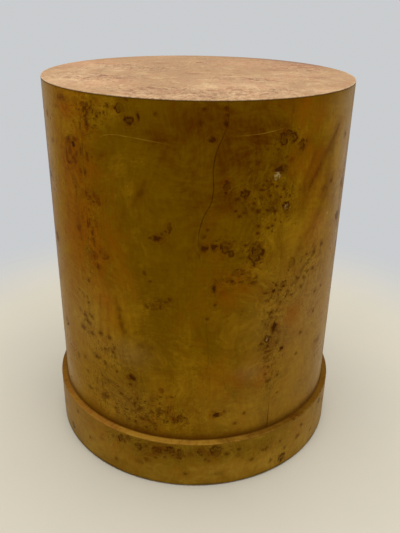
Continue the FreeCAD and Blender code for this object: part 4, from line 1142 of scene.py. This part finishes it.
# The pale of the outer edge, wear with a painted highlight, then the painted shade against the drum:
ledge_rubbed_and_lit = (0.38, 0.21, 0.04, 1.0)
ledge_corner_shade = (0.090, 0.030, 0.003, 1.0)
ledge_shade_ends = ledge_inside + 0.0024
ledge_shade_full = ledge_inside + 0.0006
ledge_cut = (9.7, 6.6)
ledge_honey = [(-45, 205, 90, 90, 0.50), (-10, 205, 40, 90, 0.25), (45, 205, 60, 90, -0.10)]
ledge_gold = [
    (-15, 205, 46, 90, 0.60), (8, 205, 40, 90, 0.35), (45, 205, 60, 90, -0.25), (-50, 205, 50, 90, 0.10),
]
ledge_pepper = [(0, 205, 400, 90, 0.30)]

# The ledge has no knot of its own, so its nearest one lies far outside it.
ledge_knots = np.array([(0.0, 500.0, 3.0, 3.0, 0.5, 0.0, 0.0)])

ledge_burl = burl_lacquer(
    "burl_ledge_lacquer", ledge_olive, ledge_honey_brown, drum_russet, ledge_gold_brown, drum_sheen_colour,
    drum_knot_brown, drum_red_brown, drum_wear,
)
ledge_paint = ledge_burl.finish
# Painted shade in the corner against the drum.
corner_shade = ease(ledge_paint, from_axis(ledge_paint), ledge_shade_ends, ledge_shade_full, 0.0, 0.5)
stain(ledge_burl, corner_shade, ledge_corner_shade)
# The outer edge made paler: worn lacquer, and a painted highlight.
rub_and_highlight_edge(ledge_burl, 0.05, 0.3, ledge_rubbed_and_lit)
lay_lacquer(ledge_burl, plinth_roughness, drum_amber, plinth_index)

ledge_patches = (ledge_honey, (), ledge_gold, ledge_pepper, ())
middle_out = (ledge_inside + plinth_radius) / 2
middle_up = (ledge_low[2] + ledge_high[2]) / 2
gap_turn = butt_gap / plinth_radius
sweep = gap_turn - math.pi
for name, turn in (("plinth_lipping_front", 0.0), ("plinth_lipping_rear", math.pi)):
    bpy.ops.object.select_all(action="DESELECT")
    place = (-middle_out, 0.0, middle_up)
    bpy.ops.mesh.primitive_plane_add(size=1.0, location=place, rotation=(math.pi / 2, 0.0, 0.0))
    ledge = bpy.context.object
    ledge.name = "burl_" + name
    ledge.scale = (plinth_radius - ledge_inside, ledge_high[2] - ledge_low[2], 1.0)
    bpy.ops.object.transform_apply(location=True, rotation=True, scale=True)
    for edge_line in ledge.data.edges:
        edge_line.select = False
    for point in ledge.data.vertices:
        point.select = point.co.x < -middle_out and point.co.z > middle_up
    for face in ledge.data.polygons:
        face.select = False
    bpy.ops.object.mode_set(mode="EDIT")
    bpy.ops.mesh.select_mode(type="VERT")
    bpy.ops.mesh.bevel(offset=ledge_edge_round, segments=ledge_edge_steps, affect="VERTICES")
    bpy.ops.mesh.select_all(action="SELECT")
    bpy.ops.mesh.delete(type="ONLY_FACE")
    bpy.ops.mesh.select_all(action="SELECT")
    bpy.ops.mesh.spin(steps=ledge_steps, angle=sweep, center=(0.0, 0.0, 0.0), axis=(0.0, 0.0, 1.0))
    bpy.ops.mesh.select_all(action="DESELECT")
    bpy.ops.mesh.select_non_manifold()
    bpy.ops.mesh.fill_holes(sides=0)
    bpy.ops.mesh.select_all(action="SELECT")
    bpy.ops.mesh.normals_make_consistent(inside=False)
    bpy.ops.object.mode_set(mode="OBJECT")
    ledge.rotation_euler = (0.0, 0.0, turn + gap_turn / 2)
    bpy.ops.object.transform_apply(location=False, rotation=True, scale=False)
    bpy.ops.object.shade_smooth_by_angle(angle=smooth_angle)
    points = points_of(ledge)
    out_mm = 1000 * np.hypot(points[:, 0], points[:, 1])
    angle = np.arctan2(points[:, 0], -points[:, 1])
    if turn:
        angle = np.sign(points[:, 0]) * math.pi - angle
    flat = np.stack([1000 * plinth_radius * angle, out_mm], 1)
    tones = [soft_sum(flat, spots, plinth_degree) for spots in ledge_patches]
    edge = 1000 * plinth_radius - out_mm + 1000 * (ledge_high[2] - points[:, 2])
    write_burl(ledge, flat, ledge_cut, ledge_knots, tones, edge)
    ledge.data.materials.append(ledge_paint)
    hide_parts(name)
    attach(ledge, "root")

# Screws, brads and glide nails: zinc plated steel. The screw heads in the base and the nail heads
# in the glides show from below. The rest hold the frame and skins together out of sight.
zinc_bright = (0.62, 0.62, 0.60, 1.0)
zinc_dull = (0.36, 0.36, 0.37, 1.0)
zinc_cloud_scale = 700.0
zinc_spangle_scale = 2600.0
zinc_relief = 0.00003
steel_nodes = ["top_screws", "base_screws", "former_screws", "skin_brads", "plinth_brads"]
steel_nodes += ["glide_nail_" + number for number in "1234"]

zinc, zinc_shader = new_finish("zinc_plating")
zinc_place = own_place(zinc)
zinc_cloud = cloud(zinc, zinc_place, zinc_cloud_scale, 4.0, 0.6)
zinc_spangle = layer(zinc, "TexVoronoi", {"Vector": zinc_place, "Scale": zinc_spangle_scale})
zinc_tone = layer(zinc, "SeparateColor", {0: zinc_spangle.outputs["Color"]}).outputs[0]
zinc_share = ease(zinc, zinc_cloud, 0.35, 0.7)
zinc_share = times(zinc, zinc_share, ease(zinc, zinc_tone, 0.0, 1.0, 0.6, 1.0))
zinc_colour = tint(zinc, zinc_share, zinc_bright, zinc_dull)
zinc_rough = ease(zinc, zinc_cloud, 0.3, 0.7, 0.28, 0.52)
lay_surface(zinc, zinc_shader, zinc_colour, zinc_rough, zinc_tone, zinc_relief)
zinc_shader.inputs["Metallic"].default_value = 1.0
dress_nodes(steel_nodes, zinc)

# Glide pads: four moulded nylon buttons nailed under the base, which carry the table 2 mm off the floor.
# They have yellowed, and sliding has scuffed and dirtied their faces.
nylon_white = (0.66, 0.62, 0.53, 1.0)
nylon_yellow = (0.55, 0.47, 0.33, 1.0)
nylon_dirt = (0.22, 0.19, 0.15, 1.0)
nylon_scuff_scales = (900.0, 160.0, 300.0)
nylon_cloud_scale = 220.0
nylon_dirt_height = 0.0012
nylon_relief = 0.00005

nylon, nylon_shader = new_finish("moulded_nylon")
nylon_place = own_place(nylon)
nylon_scuff = cloud(nylon, stretched(nylon, nylon_place, nylon_scuff_scales), 1.0, 3.0, 0.6)
nylon_aged = ease(nylon, cloud(nylon, nylon_place, nylon_cloud_scale, 3.0), 0.4, 0.7, 0.0, 0.3)
nylon_up = layer(nylon, "SeparateXYZ", {0: nylon_place}).outputs[2]
nylon_share = ease(nylon, nylon_scuff, 0.45, 0.75)
nylon_share = times(nylon, nylon_share, ease(nylon, nylon_up, nylon_dirt_height, 0.0, 0.25, 0.9))
nylon_colour = tint(nylon, nylon_share, nylon_white, nylon_dirt)
nylon_colour = tint(nylon, nylon_aged, nylon_colour, nylon_yellow)
nylon_rough = ease(nylon, nylon_scuff, 0.3, 0.7, 0.38, 0.58)
lay_surface(nylon, nylon_shader, nylon_colour, nylon_rough, nylon_scuff, nylon_relief)
dress_nodes(["glide_pad_" + number for number in "1234"], nylon)

# Studio: a pale floor that runs out into a pale backdrop colour, one wide soft lamp overhead
# and even light from all round. The camera stands where the picture was taken from.
floor_colour = (0.58, 0.545, 0.45, 1.0)
floor_shade = (0.45, 0.44, 0.38, 1.0)
floor_cloud_scale = 5.0
floor_roughness = 0.75
floor_sheen = 0.2
floor_reach = 8.0
floor_sides = 96
backdrop_colour = (0.59, 0.605, 0.62, 1.0)
backdrop_start = 0.42
backdrop_full = 0.75


def seen_by_eye(finish):
    """1 for what the camera sees, straight, in a reflection or through glass, and 0 for light that falls."""
    sight = layer(finish, "LightPath").outputs
    seen = calc(finish, "MAXIMUM", sight["Is Camera Ray"], sight["Is Glossy Ray"])
    return calc(finish, "MAXIMUM", seen, sight["Is Transmission Ray"])


bpy.ops.object.select_all(action="DESELECT")
bpy.ops.mesh.primitive_circle_add(vertices=floor_sides, radius=floor_reach, fill_type="TRIFAN")
floor = bpy.context.object
floor.name = "studio_floor"
floor_paint, floor_shader = new_finish("studio_floor_paint")
floor_place = own_place(floor_paint)
floor_cloud = cloud(floor_paint, floor_place, floor_cloud_scale, 4.0)
floor_share = ease(floor_paint, floor_cloud, 0.35, 0.7, 0.0, 0.12)
floor_tone = tint(floor_paint, floor_share, floor_colour, floor_shade)
floor_shader.inputs["Roughness"].default_value = floor_roughness
floor_shader.inputs["Specular IOR Level"].default_value = floor_sheen
floor_way = layer(floor_paint, "VectorMath", {0: floor_place}, operation="LENGTH").outputs["Value"]
far = ease(floor_paint, floor_way, backdrop_start, backdrop_full)
far = times(floor_paint, far, seen_by_eye(floor_paint))
backdrop = layer(floor_paint, "Emission", {"Color": backdrop_colour, "Strength": 1.0})
floor_mix = layer(floor_paint, "MixShader", {0: far, 1: floor_shader.outputs[0], 2: backdrop.outputs[0]})
floor_output = floor_paint.node_tree.nodes["Material Output"]
floor_paint.node_tree.links.new(floor_tone, floor_shader.inputs["Base Color"])
floor_paint.node_tree.links.new(floor_mix.outputs[0], floor_output.inputs["Surface"])
floor.data.materials.append(floor_paint)

room_white = (1.0, 1.0, 1.0, 1.0)
room_light = 0.38
room = bpy.data.worlds.new("studio_room")
room.use_nodes = True
bpy.context.scene.world = room
room_fill = room.node_tree.nodes["Background"]
room_fill.inputs["Color"].default_value = room_white
room_fill.inputs["Strength"].default_value = room_light
room_view = layer(room, "Background", {"Color": backdrop_colour, "Strength": 1.0})
room_mix = layer(room, "MixShader", {0: seen_by_eye(room), 1: room_fill.outputs[0], 2: room_view.outputs[0]})
room.node_tree.links.new(room_mix.outputs[0], room.node_tree.nodes["World Output"].inputs["Surface"])

lamp_width = 3.0
lamp_watts = 92.0
lamp_place = (0.05, -0.2, 2.5)
lamp_warmth = (1.0, 0.985, 0.96)
bpy.ops.object.light_add(type="AREA", location=lamp_place)
lamp = bpy.context.object
lamp.name = "overhead_softbox"
lamp.data.shape = "SQUARE"
lamp.data.size = lamp_width
lamp.data.energy = lamp_watts
lamp.data.color = lamp_warmth

image_width = 400
image_height = 533
focal_pixels = 598.3
film_width = 36.0
camera_near = 0.01
camera_place = (0.0044, -0.8114, 0.6141)
camera_down = math.radians(25.401)
camera_roll = math.radians(1.006)
camera_aside = math.radians(0.125)
bpy.ops.object.camera_add(location=camera_place)
camera = bpy.context.object
camera.name = "picture_camera"
aim = Matrix.Rotation(-camera_aside, 4, "Z") @ Matrix.Rotation(math.pi / 2 - camera_down, 4, "X")
camera.matrix_world = Matrix.Translation(camera_place) @ aim @ Matrix.Rotation(camera_roll, 4, "Z")
camera.data.sensor_width = film_width
camera.data.lens = film_width * focal_pixels / max(image_width, image_height)
camera.data.clip_start = camera_near
bpy.context.scene.camera = camera
bpy.context.scene.view_settings.view_transform = "Standard"
